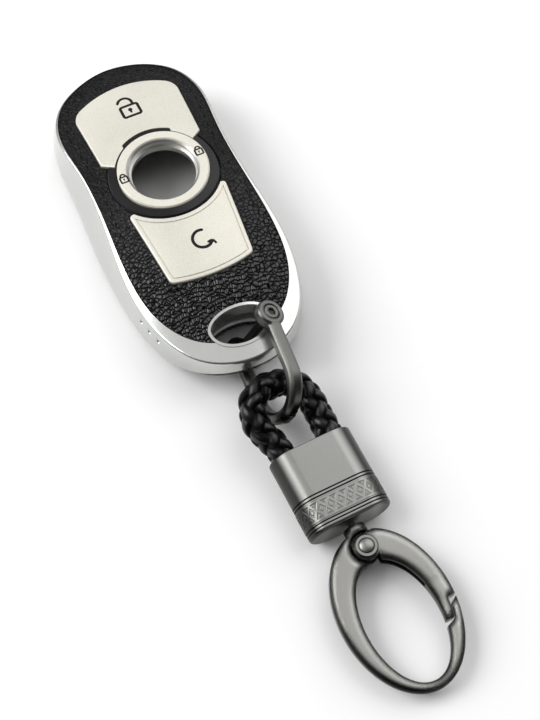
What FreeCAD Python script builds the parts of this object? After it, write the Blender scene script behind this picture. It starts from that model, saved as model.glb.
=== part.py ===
"""Key fob cover with its braided key chain, in millimetres.

X runs across the cover, +Y towards its top end, +Z up out of the front. The origin lies on the back
rest face, under the axis of the round lock ring. The chain lies below the cover, along -Y.
"""
import math
import os

import FreeCAD
import Part
from FreeCAD import Placement, Rotation, Vector

# Outline of the silver shell under its crown: half widths at places along Y
case_top = 36.6
brow_half, brow_at = 9.7, 34.5
corner_half, corner_at = 15.9, 30.2
shoulder_half, shoulder_at = 18.9, 24.0
waist_half, waist_at = 19.1, 10.0
side_half, side_at = 19.5, -8.0
hip_half, hip_at = 20.2, -23.5
flank_half, flank_at = 18.5, -36.0
heel_half, heel_at = 11.8, -48.4
case_tail = 53.0

# Side wall: at each height, how far it draws in from that outline and its share of the skirt's flare
foot_z, foot_draw, foot_share = -0.5, 1.6, 1.0
skirt_z, skirt_draw, skirt_share = 3.0, 0.0, 1.0
middle_z, middle_draw, middle_share = 7.0, -0.1, 0.6
upper_z, upper_draw, upper_share = 11.0, 0.0, 0.0
eave_z, eave_draw, eave_share = 14.6, 1.05, 0.0
crest_z, crest_draw, crest_share = 18.5, 2.95, 0.0
shell_wall = 1.8

# Flare of the skirt beyond that outline at each outline station
flare_top = 1.0
flare_brow = 1.2
flare_corner = 1.5
flare_shoulder = 0.95
flare_waist = 1.6
flare_side = 1.95
flare_hip = 0.7
flare_flank = 0.25
flare_tail = 0.1

# Front: a crown in both directions, measured to the leather's face on the ring axis
face_z = 17.0
crown_across_r = 63.0
crown_along_r = 240.0
crown_apex_y = -6.0
crown_overhang = 8.0
crown_floor_z = -10.0
crown_half_sweep = 22.0
leather_thick = 0.9
deck_thick = 1.2
lip_rise = 0.12
lip_round = 0.7

# Silver border left between the shell's outline and the front leather at each outline station
border_top = 0.85
border_corner = 0.9
border_shoulder = 1.0
border_waist = 1.35
border_side = 1.7
border_hip = 1.9
border_flank = 2.4
border_heel = 4.6
border_tail = 5.9
leather_gap = 0.05
leather_edge_round = 0.35

# Back: flat, with a rocker that rises to the tail to leave room for the shackle's rear leg
rocker_from_y = -22.0
rocker_r = 63.75
back_reach = 60.0
back_high = 40.0
back_seat_high = 30.0
back_leather_thick = 1.6
back_leather_proud = 1.2
back_border_side = 3.4
back_border_flank = 2.6
back_border_heel = 0.5
back_border_tail = 0.1
back_floor_thick = 1.2
part_line = 3.6
tongue_height = 2.4
tongue_thick = 1.0
tongue_gap = 0.1
tongue_tail_y = -38.0
snap_height = 1.44
snap_bead = 0.25
snap_tall = 0.5
snap_play = 0.1

# Key ring slot through the tail
slot_y = -43.6
slot_half = 7.0
slot_up = 3.5
slot_down = 5.0
slot_rim = 0.65
slot_rim_rise = 0.4
slot_collar_depth = 3.6
back_slot_half = 7.8
back_slot_up = 5.2
back_slot_down = 6.1

# Round lock ring and the black bezel about it
ring_top_z = 17.6
ring_r = 11.0
ring_bore_r = 8.2
ring_outer_chamfer = 0.3
ring_bore_chamfer = 0.7
ring_step = 0.5
ring_step_depth = 1.5
ring_gap = 0.15
ring_hole_gap = 0.3
ring_nub_r = 0.93
bezel_r = 13.6
bezel_proud = 0.3
bezel_bevel = 0.55
bezel_web = 0.4
notch_half = 6.2
notch_depth = 0.8

# Upper pad, which unlocks
pad_gap = 0.15
upper_low_half, upper_low_y = 12.8, 7.9
upper_top_half, upper_top_y = 13.5, 25.1
upper_foot_half, upper_foot_y = 10.1, 5.9
upper_apex_y = 28.8
upper_corner_r = 4.0

# Lower pad, which starts the engine
lower_top_half, lower_top_y = 12.3, -8.2
lower_low_half, lower_low_y = 10.4, -28.6
lower_apex_y = -30.5
lower_corner_r = 1.6
lower_top_corner_r = 0.8
lower_arc_r = 13.85
lower_border = 0.9
lower_groove_wide = 0.3
lower_groove_deep = 0.25

# How the buttons are built and held
pad_proud = 0.5
pad_edge_round = 0.35
window_gap = 0.2
flange_wide = 0.9
flange_thick = 0.7
flange_gap = 0.1
button_travel = 0.6
travel_spare = 0.2
retainer_thick = 0.55
retainer_rim = 1.0
retainer_border = 2.6
retainer_tail_y = -36.0
retainer_gap = 0.05
retainer_window_gap = 0.8
cap_wall = 1.2
nub_r = 1.6
nub_gap = 0.4
nub_reach = 0.5
upper_nub_y = 18.0
lower_nub_y = -21.5

# Dimples in a row on each flank of the shell
dimple_r = 0.75
dimple_deep = 0.35
dimple_first_y = -32.0
dimple_pitch = 3.1
dimple_count = 3
dimple_z = 10.0

# Shackle: two eyes on a screw through the slot, and a bow that holds the cord
pin_front = Vector(6.15, -46.05, 16.8)
pin_lean = Vector(0.47, -0.06, 0.88)
leg_sideways = -0.075
eye_pitch = 15.5
eye_r = 3.35
eye_thick = 3.0
eye_chamfer = 0.45
leg_wide = 3.4
leg_thick = 2.8
leg_facet = 0.75
leg_length = 13.7
bow_seat_r = 1.72
bow_seat_long = 2.6
screw_r = 1.1
screw_gap = 0.12
screw_head_r = 1.9
screw_head_tall = 1.3
socket_flats = 1.7
socket_deep = 0.8
thread_gap = 0.02

# Chain frame: its origin at the middle of the sleeve's mouth, running towards -Y
mouth = Vector(2.5, -75.2, 6.05)
chain_slope = 2.95
chain_yaw = 2.2

# Flat sleeve that holds both ends of the cord
sleeve_wide = 20.0
sleeve_thick = 9.8
sleeve_wall = 0.9
sleeve_length = 19.8
sleeve_plate = 1.2
sleeve_end_round = 0.8
sleeve_mouth_round = 0.3
band_from = 12.2
band_to = 17.7
band_line_wide = 0.35
band_line_pitch = 0.75
band_line_deep = 0.22

# Braided cord: its route in the chain frame, from one end in the sleeve round the bow to the other
cord_r = 3.4
cord_bend_share = 0.45
cord_route = [
    (-5.4, -11.0, 0.0),
    (-5.5, 2.4, 0.15),
    (-9.3, 9.2, 2.6),
    (-6.0, 16.6, 4.4),
    (5.9, 16.0, 0.9),
    (5.6, 1.0, 0.0),
    (5.4, -11.0, 0.0),
]

# Swivel between the sleeve and the hook
stud_r = 0.9
stud_play = 0.07
stud_head_r = 2.1
stud_head_tall = 1.3
stud_head_gap = 0.1
stud_head_round = 0.32
stud_grip = 1.9
neck_length = 0.9
collar_r = 2.6
collar_tall = 2.3
collar_sunk = 0.75
collar_round = 0.4

# Spring hook: an oval with a gate, measured in the chain frame from the mouth
hook_thick = 5.0
hook_taper = 0.039
hook_round = 1.0
hook_inner_round = 0.75
oval_half, oval_tall = 12.9, 18.8
oval_u, oval_v = -0.5, 41.1
eye_half, eye_tall = 8.5, 14.1
eye_u, eye_v = -0.45, 43.7
rivet_v = 26.3
rivet_r = 1.1
rivet_play = 0.05
rivet_press = 0.02
rivet_head_r = 2.6
rivet_head_tall = 0.45
rivet_dome_r = 1.65
rivet_dome_tall = 0.45
rivet_seat_gap = 0.25
knuckle_r = 3.0
knuckle_gap = 0.7
tongue_plate = 1.6
cheek_gap = 0.2
gate_web = 1.3
gate_root_u = 1.9
gate_end_v = 43.5
gate_lap_v = 47.9
gate_channel_v = 39.0
latch_gap = 0.4
nose_thick = 1.6
spring_wide = 1.5
spring_thick = 0.35
spring_gap = 0.2
spring_foot_angle = 43.0
spring_tip_v = 35.8
spring_bow = 0.9

REACH = 200.0


def shell_stations():
    """Right half of the shell's outline, from the top end to the tail."""
    return [
        Vector(0, case_top, 0),
        Vector(brow_half, brow_at, 0),
        Vector(corner_half, corner_at, 0),
        Vector(shoulder_half, shoulder_at, 0),
        Vector(waist_half, waist_at, 0),
        Vector(side_half, side_at, 0),
        Vector(hip_half, hip_at, 0),
        Vector(flank_half, flank_at, 0),
        Vector(heel_half, heel_at, 0),
        Vector(0, -case_tail, 0),
    ]


def mirrored(stations):
    left = [Vector(-p.x, p.y, p.z) for p in reversed(stations[1:-1])]
    return stations + left


def closed_curve(points):
    curve = Part.BSplineCurve()
    curve.interpolate(Points=points, PeriodicFlag=True)
    return curve


def inset_outline(widths, z=0.0):
    """Shell outline drawn in along its own normals by one width for each station."""
    stations = shell_stations()
    base = closed_curve(mirrored(stations))
    moved = []
    for station, width in zip(stations, widths):
        along = base.tangent(base.parameter(station))[0]
        inward = Vector(-along.y, along.x, 0)
        if inward.dot(Vector(0, 0, 0) - station) < 0:
            inward = inward * -1
        point = station + inward * width
        if station.x == 0:
            point.x = 0
        moved.append(Vector(point.x, point.y, z))
    return Part.Wire(closed_curve(mirrored(moved)).toShape())


def flares():
    return [flare_top, flare_brow, flare_corner, flare_shoulder, flare_waist, flare_side, flare_hip,
            flare_flank, flare_tail, flare_tail]


def leather_widths(extra=0.0):
    borders = [border_top, border_top, border_corner, border_shoulder, border_waist, border_side]
    borders += [border_hip, border_flank, border_heel, border_tail]
    return [border + extra for border in borders]


def back_widths(extra=0.0):
    borders = [back_border_side] * 7 + [back_border_flank, back_border_heel, back_border_tail]
    return [border + extra for border in borders]


def prism(wire, z_low, z_high):
    face = Part.Face(wire)
    face.translate(Vector(0, 0, z_low))
    return face.extrude(Vector(0, 0, z_high - z_low))


def wall_form(extra=0.0):
    """Loft up the side wall, drawn in everywhere by extra."""
    levels = [
        (foot_z, foot_draw, foot_share),
        (skirt_z, skirt_draw, skirt_share),
        (middle_z, middle_draw, middle_share),
        (upper_z, upper_draw, upper_share),
        (eave_z, eave_draw, eave_share),
        (crest_z, crest_draw, crest_share),
    ]
    wires = []
    for z, draw, share in levels:
        wires.append(inset_outline([draw + extra - share * flare for flare in flares()], z))
    return Part.makeLoft(wires, True, False)


def under_crown(rise=0.0):
    """Everything under the front crown: an arc across X swept about an axis far below."""
    centre = Vector(0, crown_apex_y, face_z - crown_across_r)
    radius = crown_across_r + rise
    side = hip_half + crown_overhang
    drop = radius - math.sqrt(radius * radius - side * side)
    edge_z = centre.z + radius - drop
    left = Vector(-side, crown_apex_y, edge_z)
    top = Vector(0, crown_apex_y, centre.z + radius)
    right = Vector(side, crown_apex_y, edge_z)
    low_right = Vector(side, crown_apex_y, crown_floor_z)
    low_left = Vector(-side, crown_apex_y, crown_floor_z)
    edges = [
        Part.Arc(left, top, right).toShape(),
        Part.LineSegment(right, low_right).toShape(),
        Part.LineSegment(low_right, low_left).toShape(),
        Part.LineSegment(low_left, left).toShape(),
    ]
    face = Part.Face(Part.Wire(edges))
    axis_point = Vector(0, crown_apex_y, face_z - crown_along_r)
    face.rotate(axis_point, Vector(1, 0, 0), -crown_half_sweep)
    return face.revolve(axis_point, Vector(1, 0, 0), 2 * crown_half_sweep)


def over_back(rise=0.0):
    """Everything above the back: a flat run, then the rocker's arc up to the tail."""
    far = back_reach
    high = back_high
    radius = rocker_r - rise
    start = Vector(0, rocker_from_y, rise)
    reach = -far - rocker_from_y
    turn = math.asin(-reach / radius)
    middle = Vector(0, rocker_from_y - radius * math.sin(turn / 2), rocker_r - radius * math.cos(turn / 2))
    end = Vector(0, -far, rocker_r - radius * math.cos(turn))
    head = Vector(0, far, rise)
    top_head = Vector(0, far, high)
    top_tail = Vector(0, -far, high)
    edges = [
        Part.LineSegment(head, start).toShape(),
        Part.Arc(start, middle, end).toShape(),
        Part.LineSegment(end, top_tail).toShape(),
        Part.LineSegment(top_tail, top_head).toShape(),
        Part.LineSegment(top_head, head).toShape(),
    ]
    face = Part.Face(Part.Wire(edges))
    face.translate(Vector(-far, 0, 0))
    return face.extrude(Vector(2 * far, 0, 0))


def between_crowns(shape, low, high):
    return shape.common(under_crown(high)).cut(under_crown(low))


def disc(radius, z_low=-REACH / 2, z_high=REACH / 2, x=0.0, y=0.0):
    return Part.makeCylinder(radius, z_high - z_low, Vector(x, y, z_low))


def block(x0, x1, y0, y1, z0=-REACH / 2, z1=REACH / 2):
    return Part.makeBox(x1 - x0, y1 - y0, z1 - z0, Vector(x0, y0, z0))


def slot_prism(half, up, down):
    """Almond slot: an upper and a lower half ellipse that meet at the tips."""
    centre = Vector(0, slot_y, 0)
    left = Vector(-half, slot_y, 0)
    right = Vector(half, slot_y, 0)
    halves = []
    for reach, start, end in ((up, right, left), (down, left, right)):
        tip = Vector(0, slot_y + (reach if start is right else -reach), 0)
        if reach < half:
            oval = Part.Ellipse(right, Vector(0, slot_y + reach, 0), centre)
        else:
            oval = Part.Ellipse(tip, right, centre)
        first = oval.parameter(start)
        last = oval.parameter(end)
        if last <= first:
            last += 2 * math.pi
        halves.append(Part.Edge(oval, first, last))
    return prism(Part.Wire(halves), -REACH / 2, REACH / 2)


def rounded_prism(corners, apex, corner_radii, grow):
    """Upright prism on corners joined by straight sides, with a bowed last side through apex."""
    edges = [Part.LineSegment(start, end).toShape() for start, end in zip(corners, corners[1:])]
    edges.append(Part.Arc(corners[-1], apex, corners[0]).toShape())
    wire = Part.Wire(edges)
    if grow:
        wire = wire.makeOffset2D(grow, join=2)
    solid = prism(wire, 0.0, 2 * ring_top_z)
    for corner, radius in zip(corners, corner_radii):
        if radius == 0 or radius + grow <= 0:
            continue
        near = min(upright_edges(solid), key=lambda edge: flat_distance(edge, corner))
        solid = solid.makeFillet(radius + grow, [near])
    return solid


def upright_edges(solid):
    found = []
    for edge in solid.Edges:
        ends = [vertex.Point for vertex in edge.Vertexes]
        if len(ends) == 2 and abs(ends[0].x - ends[1].x) + abs(ends[0].y - ends[1].y) < 1e-6:
            found.append(edge)
    return found


def flat_distance(edge, point):
    place = edge.Vertexes[0].Point
    return math.hypot(place.x - point.x, place.y - point.y)


def upper_blank(grow=0.0):
    """Prism of the upper pad before the ring is cut from it."""
    right = [
        Vector(upper_top_half, upper_top_y, 0),
        Vector(upper_low_half, upper_low_y, 0),
        Vector(upper_foot_half, upper_foot_y, 0),
    ]
    left = [Vector(-p.x, p.y, 0) for p in reversed(right)]
    radii = [upper_corner_r, 0, 0, 0, 0, upper_corner_r]
    return rounded_prism(right + left, Vector(0, upper_apex_y, 0), radii, grow)


def upper_relief(grow=0.0):
    """Space that the ring, its web and the bezel's tab take from the upper pad."""
    edge_r = ring_r + ring_gap + bezel_web + pad_gap - grow
    notch = disc(edge_r + notch_depth).common(block(-notch_half + grow, notch_half - grow, 0, REACH / 2))
    return disc(edge_r).fuse(notch)


def upper_pad(grow=0.0):
    return upper_blank(grow).cut(upper_relief(grow))


def lower_blank(grow=0.0):
    """Prism of the lower pad before the bezel's arc is cut from it."""
    right = [
        Vector(lower_top_half, lower_top_y, 0),
        Vector(lower_low_half, lower_low_y, 0),
    ]
    corners = [Vector(-right[1].x, right[1].y, 0), Vector(-right[0].x, right[0].y, 0)] + right
    radii = [lower_corner_r, lower_top_corner_r, lower_top_corner_r, lower_corner_r]
    return rounded_prism(corners, Vector(0, lower_apex_y, 0), radii, grow)


def lower_relief(grow=0.0):
    return disc(lower_arc_r - grow)


def lower_pad(grow=0.0):
    return lower_blank(grow).cut(lower_relief(grow))


def deck_under():
    return -(leather_thick + deck_thick)


def flange_top():
    return deck_under() - flange_gap


def flange_low():
    return flange_top() - flange_thick


def retainer_top():
    return flange_low() - button_travel - travel_spare


def nub_low():
    return retainer_top() - retainer_thick - nub_reach


def top_face(shape):
    return max(shape.Faces, key=lambda face: face.CenterOfMass.z)


def case_form():
    """Outer form of the closed cover, with the crown's edge rounded over."""
    form = wall_form().common(under_crown(lip_rise))
    crown_face = top_face(form)
    return form.makeFillet(lip_round, crown_face.OuterWire.Edges)


def front_shell(form):
    inner = wall_form(shell_wall).common(under_crown(deck_under()))
    shell = form.common(over_back(part_line)).cut(inner)
    pocket = prism(inset_outline(leather_widths(-leather_gap)), 0, REACH / 2).cut(under_crown(-leather_thick))
    shell = shell.cut(pocket)
    rim = slot_prism(slot_half + slot_rim, slot_up + slot_rim, slot_down + slot_rim)
    rim = between_crowns(rim, -slot_collar_depth, slot_rim_rise).common(form_reach(form))
    shell = shell.fuse(rim)
    shell = shell.cut(slot_prism(slot_half, slot_up, slot_down))
    shell = shell.cut(disc(ring_r + ring_hole_gap))
    shell = shell.cut(upper_relief().common(block(-REACH, REACH, upper_foot_y, REACH)))
    shell = shell.cut(upper_pad(window_gap))
    shell = shell.cut(lower_pad(window_gap))
    shell = shell.cut(snap_ring(snap_play))
    for side in (-1, 1):
        shell = shell.cut(dimple_row(side))
    return shell


def form_reach(form):
    """Space over the cover's plan, so that the slot's rim may stand above the crown."""
    return form.fuse(form.translated(Vector(0, 0, 2 * slot_rim_rise)))


def dimple_row(side):
    """Three round dimples, sunk square to the flank at their height."""
    spots = []
    base = closed_curve(mirrored(shell_stations()))
    for index in range(dimple_count):
        y = dimple_first_y - index * dimple_pitch
        cut = Part.LineSegment(Vector(0, y, 0), Vector(REACH, y, 0))
        meet = base.intersect(cut)[0]
        along = base.tangent(base.parameter(Vector(meet.X, meet.Y, 0)))[0]
        out = Vector(along.y, -along.x, 0)
        if out.x < 0:
            out = out * -1
        centre = Vector(meet.X, meet.Y, dimple_z)
        ball_r = (dimple_r ** 2 + dimple_deep ** 2) / (2 * dimple_deep)
        centre = centre + out * (ball_r - dimple_deep)
        spots.append(Part.makeSphere(ball_r, Vector(side * centre.x, centre.y, centre.z)))
    return spots[0].multiFuse(spots[1:])


def snap_ring(play):
    """Bead on the back cover's tongue; with play, the groove for it in the front shell."""
    middle = part_line + snap_height
    outer = wall_form(shell_wall + tongue_gap - snap_bead - play)
    inner = wall_form(shell_wall + tongue_gap + tongue_thick / 2)
    low = over_back(middle - snap_tall / 2 - play)
    high = over_back(middle + snap_tall / 2 + play)
    return outer.cut(inner).common(low).cut(high).common(ahead_of_tail(play))


def ahead_of_tail(play=0.0):
    return block(-REACH / 2, REACH / 2, tongue_tail_y - play, REACH / 2)


def front_leather():
    """Leather panel on the deck, open round the pads, the bezel and the slot's rim."""
    panel = prism(inset_outline(leather_widths()), 0, REACH / 2)
    panel = between_crowns(panel, -leather_thick, 0.0)
    panel = panel.makeFillet(leather_edge_round, top_face(panel).OuterWire.Edges)
    panel = panel.cut(disc(bezel_r + leather_gap))
    panel = panel.cut(upper_pad(window_gap))
    panel = panel.cut(lower_pad(window_gap))
    rim = slot_rim + leather_gap
    return panel.cut(slot_prism(slot_half + rim, slot_up + rim, slot_down + rim))


def ring_bezel():
    """Black bezel: a raised step below the ring, a thin web and a tab above it."""
    ring = disc(bezel_r).cut(disc(ring_r + ring_gap))
    ring = between_crowns(ring, -leather_thick, bezel_proud)
    top = top_face(ring)
    ring = ring.makeChamfer(bezel_bevel, top.OuterWire.Edges)
    return ring.cut(upper_pad(pad_gap)).cut(lower_pad(pad_gap))


def pad_flange(grown, keep_clear):
    return between_crowns(grown, flange_low(), flange_top()).cut(keep_clear)


def button_cap(blank, relief, grown, hollow, keep_clear, nub_y):
    """Pad with a rounded face, a flange under the deck, a hollow back and a nub below."""
    cap = between_crowns(blank, flange_low(), pad_proud)
    cap = cap.makeFillet(pad_edge_round, top_face(cap).OuterWire.Edges)
    cap = cap.cut(relief).fuse(pad_flange(grown, keep_clear))
    cap = cap.cut(hollow.common(under_crown(pad_proud - cap_wall)))
    nub = between_crowns(disc(nub_r, 0, REACH / 2, 0, nub_y), nub_low(), pad_proud - cap_wall / 2)
    return cap.fuse(nub).removeSplitter()


def unlock_button():
    clear = disc(ring_r + bezel_web + 2 * flange_wide)
    return button_cap(upper_blank(), upper_relief(), upper_pad(flange_wide), upper_pad(-cap_wall), clear,
                      upper_nub_y)


def start_button():
    """Lower pad, with a fine groove that runs inside its border."""
    clear = disc(lower_arc_r - pad_gap)
    cap = button_cap(lower_blank(), lower_relief(), lower_pad(flange_wide), lower_pad(-cap_wall), clear,
                     lower_nub_y)
    groove = lower_pad(-lower_border).cut(lower_pad(-lower_border - lower_groove_wide))
    return cap.cut(between_crowns(groove, pad_proud - lower_groove_deep, pad_proud + 1))


def lock_ring():
    """Turned ring with a chamfered bore, a step inside it and a flange under the lower deck."""
    low_z = face_z + flange_low()
    inner = ring_bore_r
    profile = [
        (inner - ring_step, low_z),
        (ring_r, low_z),
        (ring_r, ring_top_z - ring_outer_chamfer),
        (ring_r - ring_outer_chamfer, ring_top_z),
        (inner + ring_bore_chamfer, ring_top_z),
        (inner, ring_top_z - ring_bore_chamfer),
        (inner, ring_top_z - ring_bore_chamfer - ring_step_depth),
        (inner - ring_step, ring_top_z - ring_bore_chamfer - ring_step_depth),
        (inner - ring_step, low_z),
    ]
    face = Part.Face(Part.makePolygon([Vector(r, 0, z) for r, z in profile]))
    ring = face.revolve(Vector(0, 0, 0), Vector(0, 0, 1), 360)
    lower_side = block(-REACH / 2, REACH / 2, -REACH / 2, upper_foot_y - flange_wide - 2 * pad_gap)
    flange = disc(ring_r + flange_wide).cut(disc(ring_r - ring_gap)).common(lower_side)
    flange = between_crowns(flange, flange_low(), flange_top())
    ring = ring.fuse(flange)
    for side in (-1, 1):
        x = side * ring_nub_x()
        nub = disc(ring_nub_r, 0, face_z + flange_top(), x, 0)
        ring = ring.fuse(between_crowns(nub, nub_low(), flange_top()))
    return ring.removeSplitter()


def ring_nub_x():
    return (ring_r + ring_bore_r) / 2


def button_retainer():
    """Black sheet glued under the deck by its rim. The flanges move in the room inside the rim."""
    outline = inset_outline(leather_widths(retainer_border))
    outer = prism(outline, 0, REACH / 2)
    low = retainer_top() - retainer_thick
    sheet = between_crowns(outer, low, deck_under() - retainer_gap)
    sheet = sheet.cut(block(-REACH, REACH, -REACH, retainer_tail_y))
    room = prism(inset_outline(leather_widths(retainer_border + retainer_rim)), 0, REACH / 2)
    room = room.cut(block(-REACH, REACH, -REACH, retainer_tail_y + retainer_rim))
    sheet = sheet.cut(between_crowns(room, retainer_top(), 0))
    sheet = sheet.cut(disc(ring_bore_r + retainer_window_gap))
    for nub_y in (upper_nub_y, lower_nub_y):
        sheet = sheet.cut(disc(nub_r + nub_gap, y=nub_y))
    for side in (-1, 1):
        sheet = sheet.cut(disc(ring_nub_r + nub_gap, x=side * ring_nub_x()))
    return sheet


def back_slot():
    return slot_prism(back_slot_half, back_slot_up, back_slot_down)


def back_cover(form):
    """Tray that closes the back, with a tongue inside the front shell and a snap bead on it."""
    tray = form.common(over_back(back_leather_proud)).cut(over_back(part_line))
    floor_top = back_leather_thick + back_floor_thick
    tray = tray.cut(wall_form(shell_wall).common(over_back(floor_top)))
    tongue = wall_form(shell_wall + tongue_gap).cut(wall_form(shell_wall + tongue_gap + tongue_thick))
    tongue = tongue.common(over_back(floor_top - back_floor_thick / 2)).cut(over_back(part_line + tongue_height))
    tongue = tongue.common(ahead_of_tail())
    tray = tray.fuse(tongue).fuse(snap_ring(0.0))
    seat = prism(inset_outline(back_widths(-leather_gap)), foot_z, back_seat_high)
    tray = tray.cut(seat.cut(over_back(back_leather_thick)))
    return tray.cut(back_slot())


def back_leather():
    patch = prism(inset_outline(back_widths()), foot_z, back_seat_high)
    patch = patch.common(over_back(0.0)).cut(over_back(back_leather_thick))
    return patch.cut(back_slot())


def shackle_place():
    """Frame of the shackle: Z along the screw to the front, -Y along the legs, origin between the eyes."""
    along_pin = Vector(pin_lean).normalize()
    down = -(along_pin.x * leg_sideways - along_pin.y) / along_pin.z
    legs = Vector(leg_sideways, -1, down).normalize()
    back = legs * -1
    across = back.cross(along_pin)
    middle = pin_front - along_pin * (eye_pitch / 2)
    return Placement(middle, Rotation(across, back, along_pin, "ZXY"))


def leg_section(y):
    """Faceted bar section in the shackle's XZ plane, about the front leg."""
    half_w = leg_wide / 2
    half_t = leg_thick / 2
    z = eye_pitch / 2
    outline = [
        (-half_w + leg_facet, -half_t), (half_w - leg_facet, -half_t), (half_w, -half_t + leg_facet),
        (half_w, half_t - leg_facet), (half_w - leg_facet, half_t), (-half_w + leg_facet, half_t),
        (-half_w, half_t - leg_facet), (-half_w, -half_t + leg_facet), (-half_w + leg_facet, -half_t),
    ]
    return Part.Face(Part.makePolygon([Vector(x, y, z + t) for x, t in outline]))


def shackle_bow():
    """Horseshoe of faceted bar, round where the cord hangs, with an eye at each end, drilled for the screw."""
    bow = leg_section(-leg_length).revolve(Vector(0, -leg_length, 0), Vector(1, 0, 0), 180)
    pieces = []
    for side in (-1, 1):
        leg = leg_section(0).extrude(Vector(0, -leg_length, 0))
        if side < 0:
            leg = leg.mirror(Vector(0, 0, 0), Vector(0, 0, 1))
        middle = side * eye_pitch / 2
        eye = Part.makeCylinder(eye_r, eye_thick, Vector(0, 0, middle - eye_thick / 2))
        eye = eye.makeChamfer(eye_chamfer, [edge for edge in eye.Edges if len(edge.Vertexes) == 1])
        pieces += [leg, eye]
    low = Vector(0, -leg_length - eye_pitch / 2, -bow_seat_long / 2)
    pieces.append(Part.makeCylinder(bow_seat_r, bow_seat_long, low))
    bow = bow.multiFuse(pieces)
    front_face = (eye_pitch + eye_thick) / 2
    bow = bow.cut(disc(screw_head_r + screw_gap, front_face - screw_head_tall - screw_gap, front_face + 1))
    bow = bow.cut(disc(screw_r + screw_gap, 0, front_face))
    bow = bow.cut(disc(screw_r + thread_gap, -front_face - 1, 0))
    return bow.removeSplitter()


def shackle_screw():
    """Socket screw, its head sunk in the front eye and its tip in the rear eye."""
    front_face = (eye_pitch + eye_thick) / 2
    seat = front_face - screw_head_tall
    shank = disc(screw_r, -front_face + eye_chamfer, seat + screw_head_tall / 2)
    head = disc(screw_head_r, seat, front_face)
    head = head.makeChamfer(eye_chamfer / 2, [max(head.Edges, key=lambda edge: edge.CenterOfMass.z)])
    socket = Part.makePolygon([
        Vector(*hexagon_corner(index), front_face - socket_deep) for index in range(7)
    ])
    socket = Part.Face(socket).extrude(Vector(0, 0, 2 * socket_deep))
    return shank.fuse(head).cut(socket).removeSplitter()


def hexagon_corner(index):
    radius = socket_flats / math.sqrt(3)
    turn = math.radians(60 * index)
    return radius * math.cos(turn), radius * math.sin(turn)


def chain_place():
    return Placement(mouth, Rotation(Vector(0, 0, 1), chain_yaw) * Rotation(Vector(1, 0, 0), chain_slope))


def stadium(wide, thick, v_from, v_to):
    """Flat sleeve section run along the chain from v_from to v_to."""
    radius = thick / 2
    half = wide / 2 - radius
    y0 = -v_from
    corners = [Vector(-half, y0, -radius), Vector(half, y0, -radius), Vector(half, y0, radius),
               Vector(-half, y0, radius)]
    edges = [
        Part.LineSegment(corners[0], corners[1]).toShape(),
        Part.Arc(corners[1], Vector(half + radius, y0, 0), corners[2]).toShape(),
        Part.LineSegment(corners[2], corners[3]).toShape(),
        Part.Arc(corners[3], Vector(-half - radius, y0, 0), corners[0]).toShape(),
    ]
    return Part.Face(Part.Wire(edges)).extrude(Vector(0, v_from - v_to, 0))


def along_chain(radius, v_from, v_to):
    return Part.makeCylinder(radius, v_to - v_from, Vector(0, -v_from, 0), Vector(0, -1, 0))


def cord_sleeve():
    """Flat sleeve, closed but for the swivel's hole, with two pairs of fine lines round it."""
    body = stadium(sleeve_wide, sleeve_thick, 0, sleeve_length)
    ends = [edge for edge in body.Edges if abs(edge.CenterOfMass.y + sleeve_length) < 1e-6]
    body = body.makeFillet(sleeve_end_round, ends)
    rim = [edge for edge in body.Edges if abs(edge.CenterOfMass.y) < 1e-6]
    body = body.makeFillet(sleeve_mouth_round, rim)
    body = body.cut(stadium(sleeve_wide - 2 * sleeve_wall, sleeve_thick - 2 * sleeve_wall, -1,
                            sleeve_length - sleeve_plate))
    for start in (band_from - band_line_pitch, band_from, band_to, band_to + band_line_pitch):
        outer = stadium(sleeve_wide + 1, sleeve_thick + 1, start, start + band_line_wide)
        inner = stadium(sleeve_wide - 2 * band_line_deep, sleeve_thick - 2 * band_line_deep, start,
                        start + band_line_wide)
        body = body.cut(outer.cut(inner))
    return body.cut(along_chain(stud_r + stud_play, 0, sleeve_length + 1))


def rounded_route(points):
    """Straight runs joined by tangent arcs as large as the runs allow, with the arcs' radii."""
    places = [Vector(*point) for point in points]
    edges = []
    radii = []
    start = places[0]
    for before, corner, after in zip(places, places[1:], places[2:]):
        run_in = corner - before
        run_out = after - corner
        reach = cord_bend_share * min(run_in.Length, run_out.Length)
        turn = run_in.getAngle(run_out)
        radius = reach / math.tan(turn / 2)
        radii.append(radius)
        enter = corner - Vector(run_in).normalize() * reach
        leave = corner + Vector(run_out).normalize() * reach
        to_middle = (enter + leave) * 0.5 - corner
        depth = radius / math.cos(turn / 2) - radius
        middle = corner + to_middle.normalize() * depth
        edges.append(Part.LineSegment(start, enter).toShape())
        edges.append(Part.Arc(enter, middle, leave).toShape())
        start = leave
    edges.append(Part.LineSegment(start, places[-1]).toShape())
    return Part.Wire(edges), radii


def braided_cord():
    """Cord as a plain round tube along its route."""
    path, radii = rounded_route(cord_route)
    start = Vector(*cord_route[0])
    heading = Vector(*cord_route[1]) - start
    circle = Part.Wire(Part.makeCircle(cord_r, start, heading))
    tube = path.makePipeShell([circle], True, False)
    expected = math.pi * cord_r ** 2 * path.Length
    print("cord radii", [round(radius, 1) for radius in radii])
    print("cord length", round(path.Length, 2), "volume over section times length",
          round(tube.Volume / expected, 4))
    return tube


def collar_from():
    return sleeve_length + neck_length


def swivel_stud():
    """Headed stud: its head turns inside the sleeve, its tip is pressed into the hook's collar."""
    head_end = sleeve_length - sleeve_plate - stud_head_gap
    head = along_chain(stud_head_r, head_end - stud_head_tall, head_end)
    head = head.makeFillet(stud_head_round, [max(head.Edges, key=lambda edge: edge.CenterOfMass.y)])
    return head.fuse(along_chain(stud_r, head_end - stud_head_tall / 2, collar_from() + stud_grip)).removeSplitter()


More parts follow.
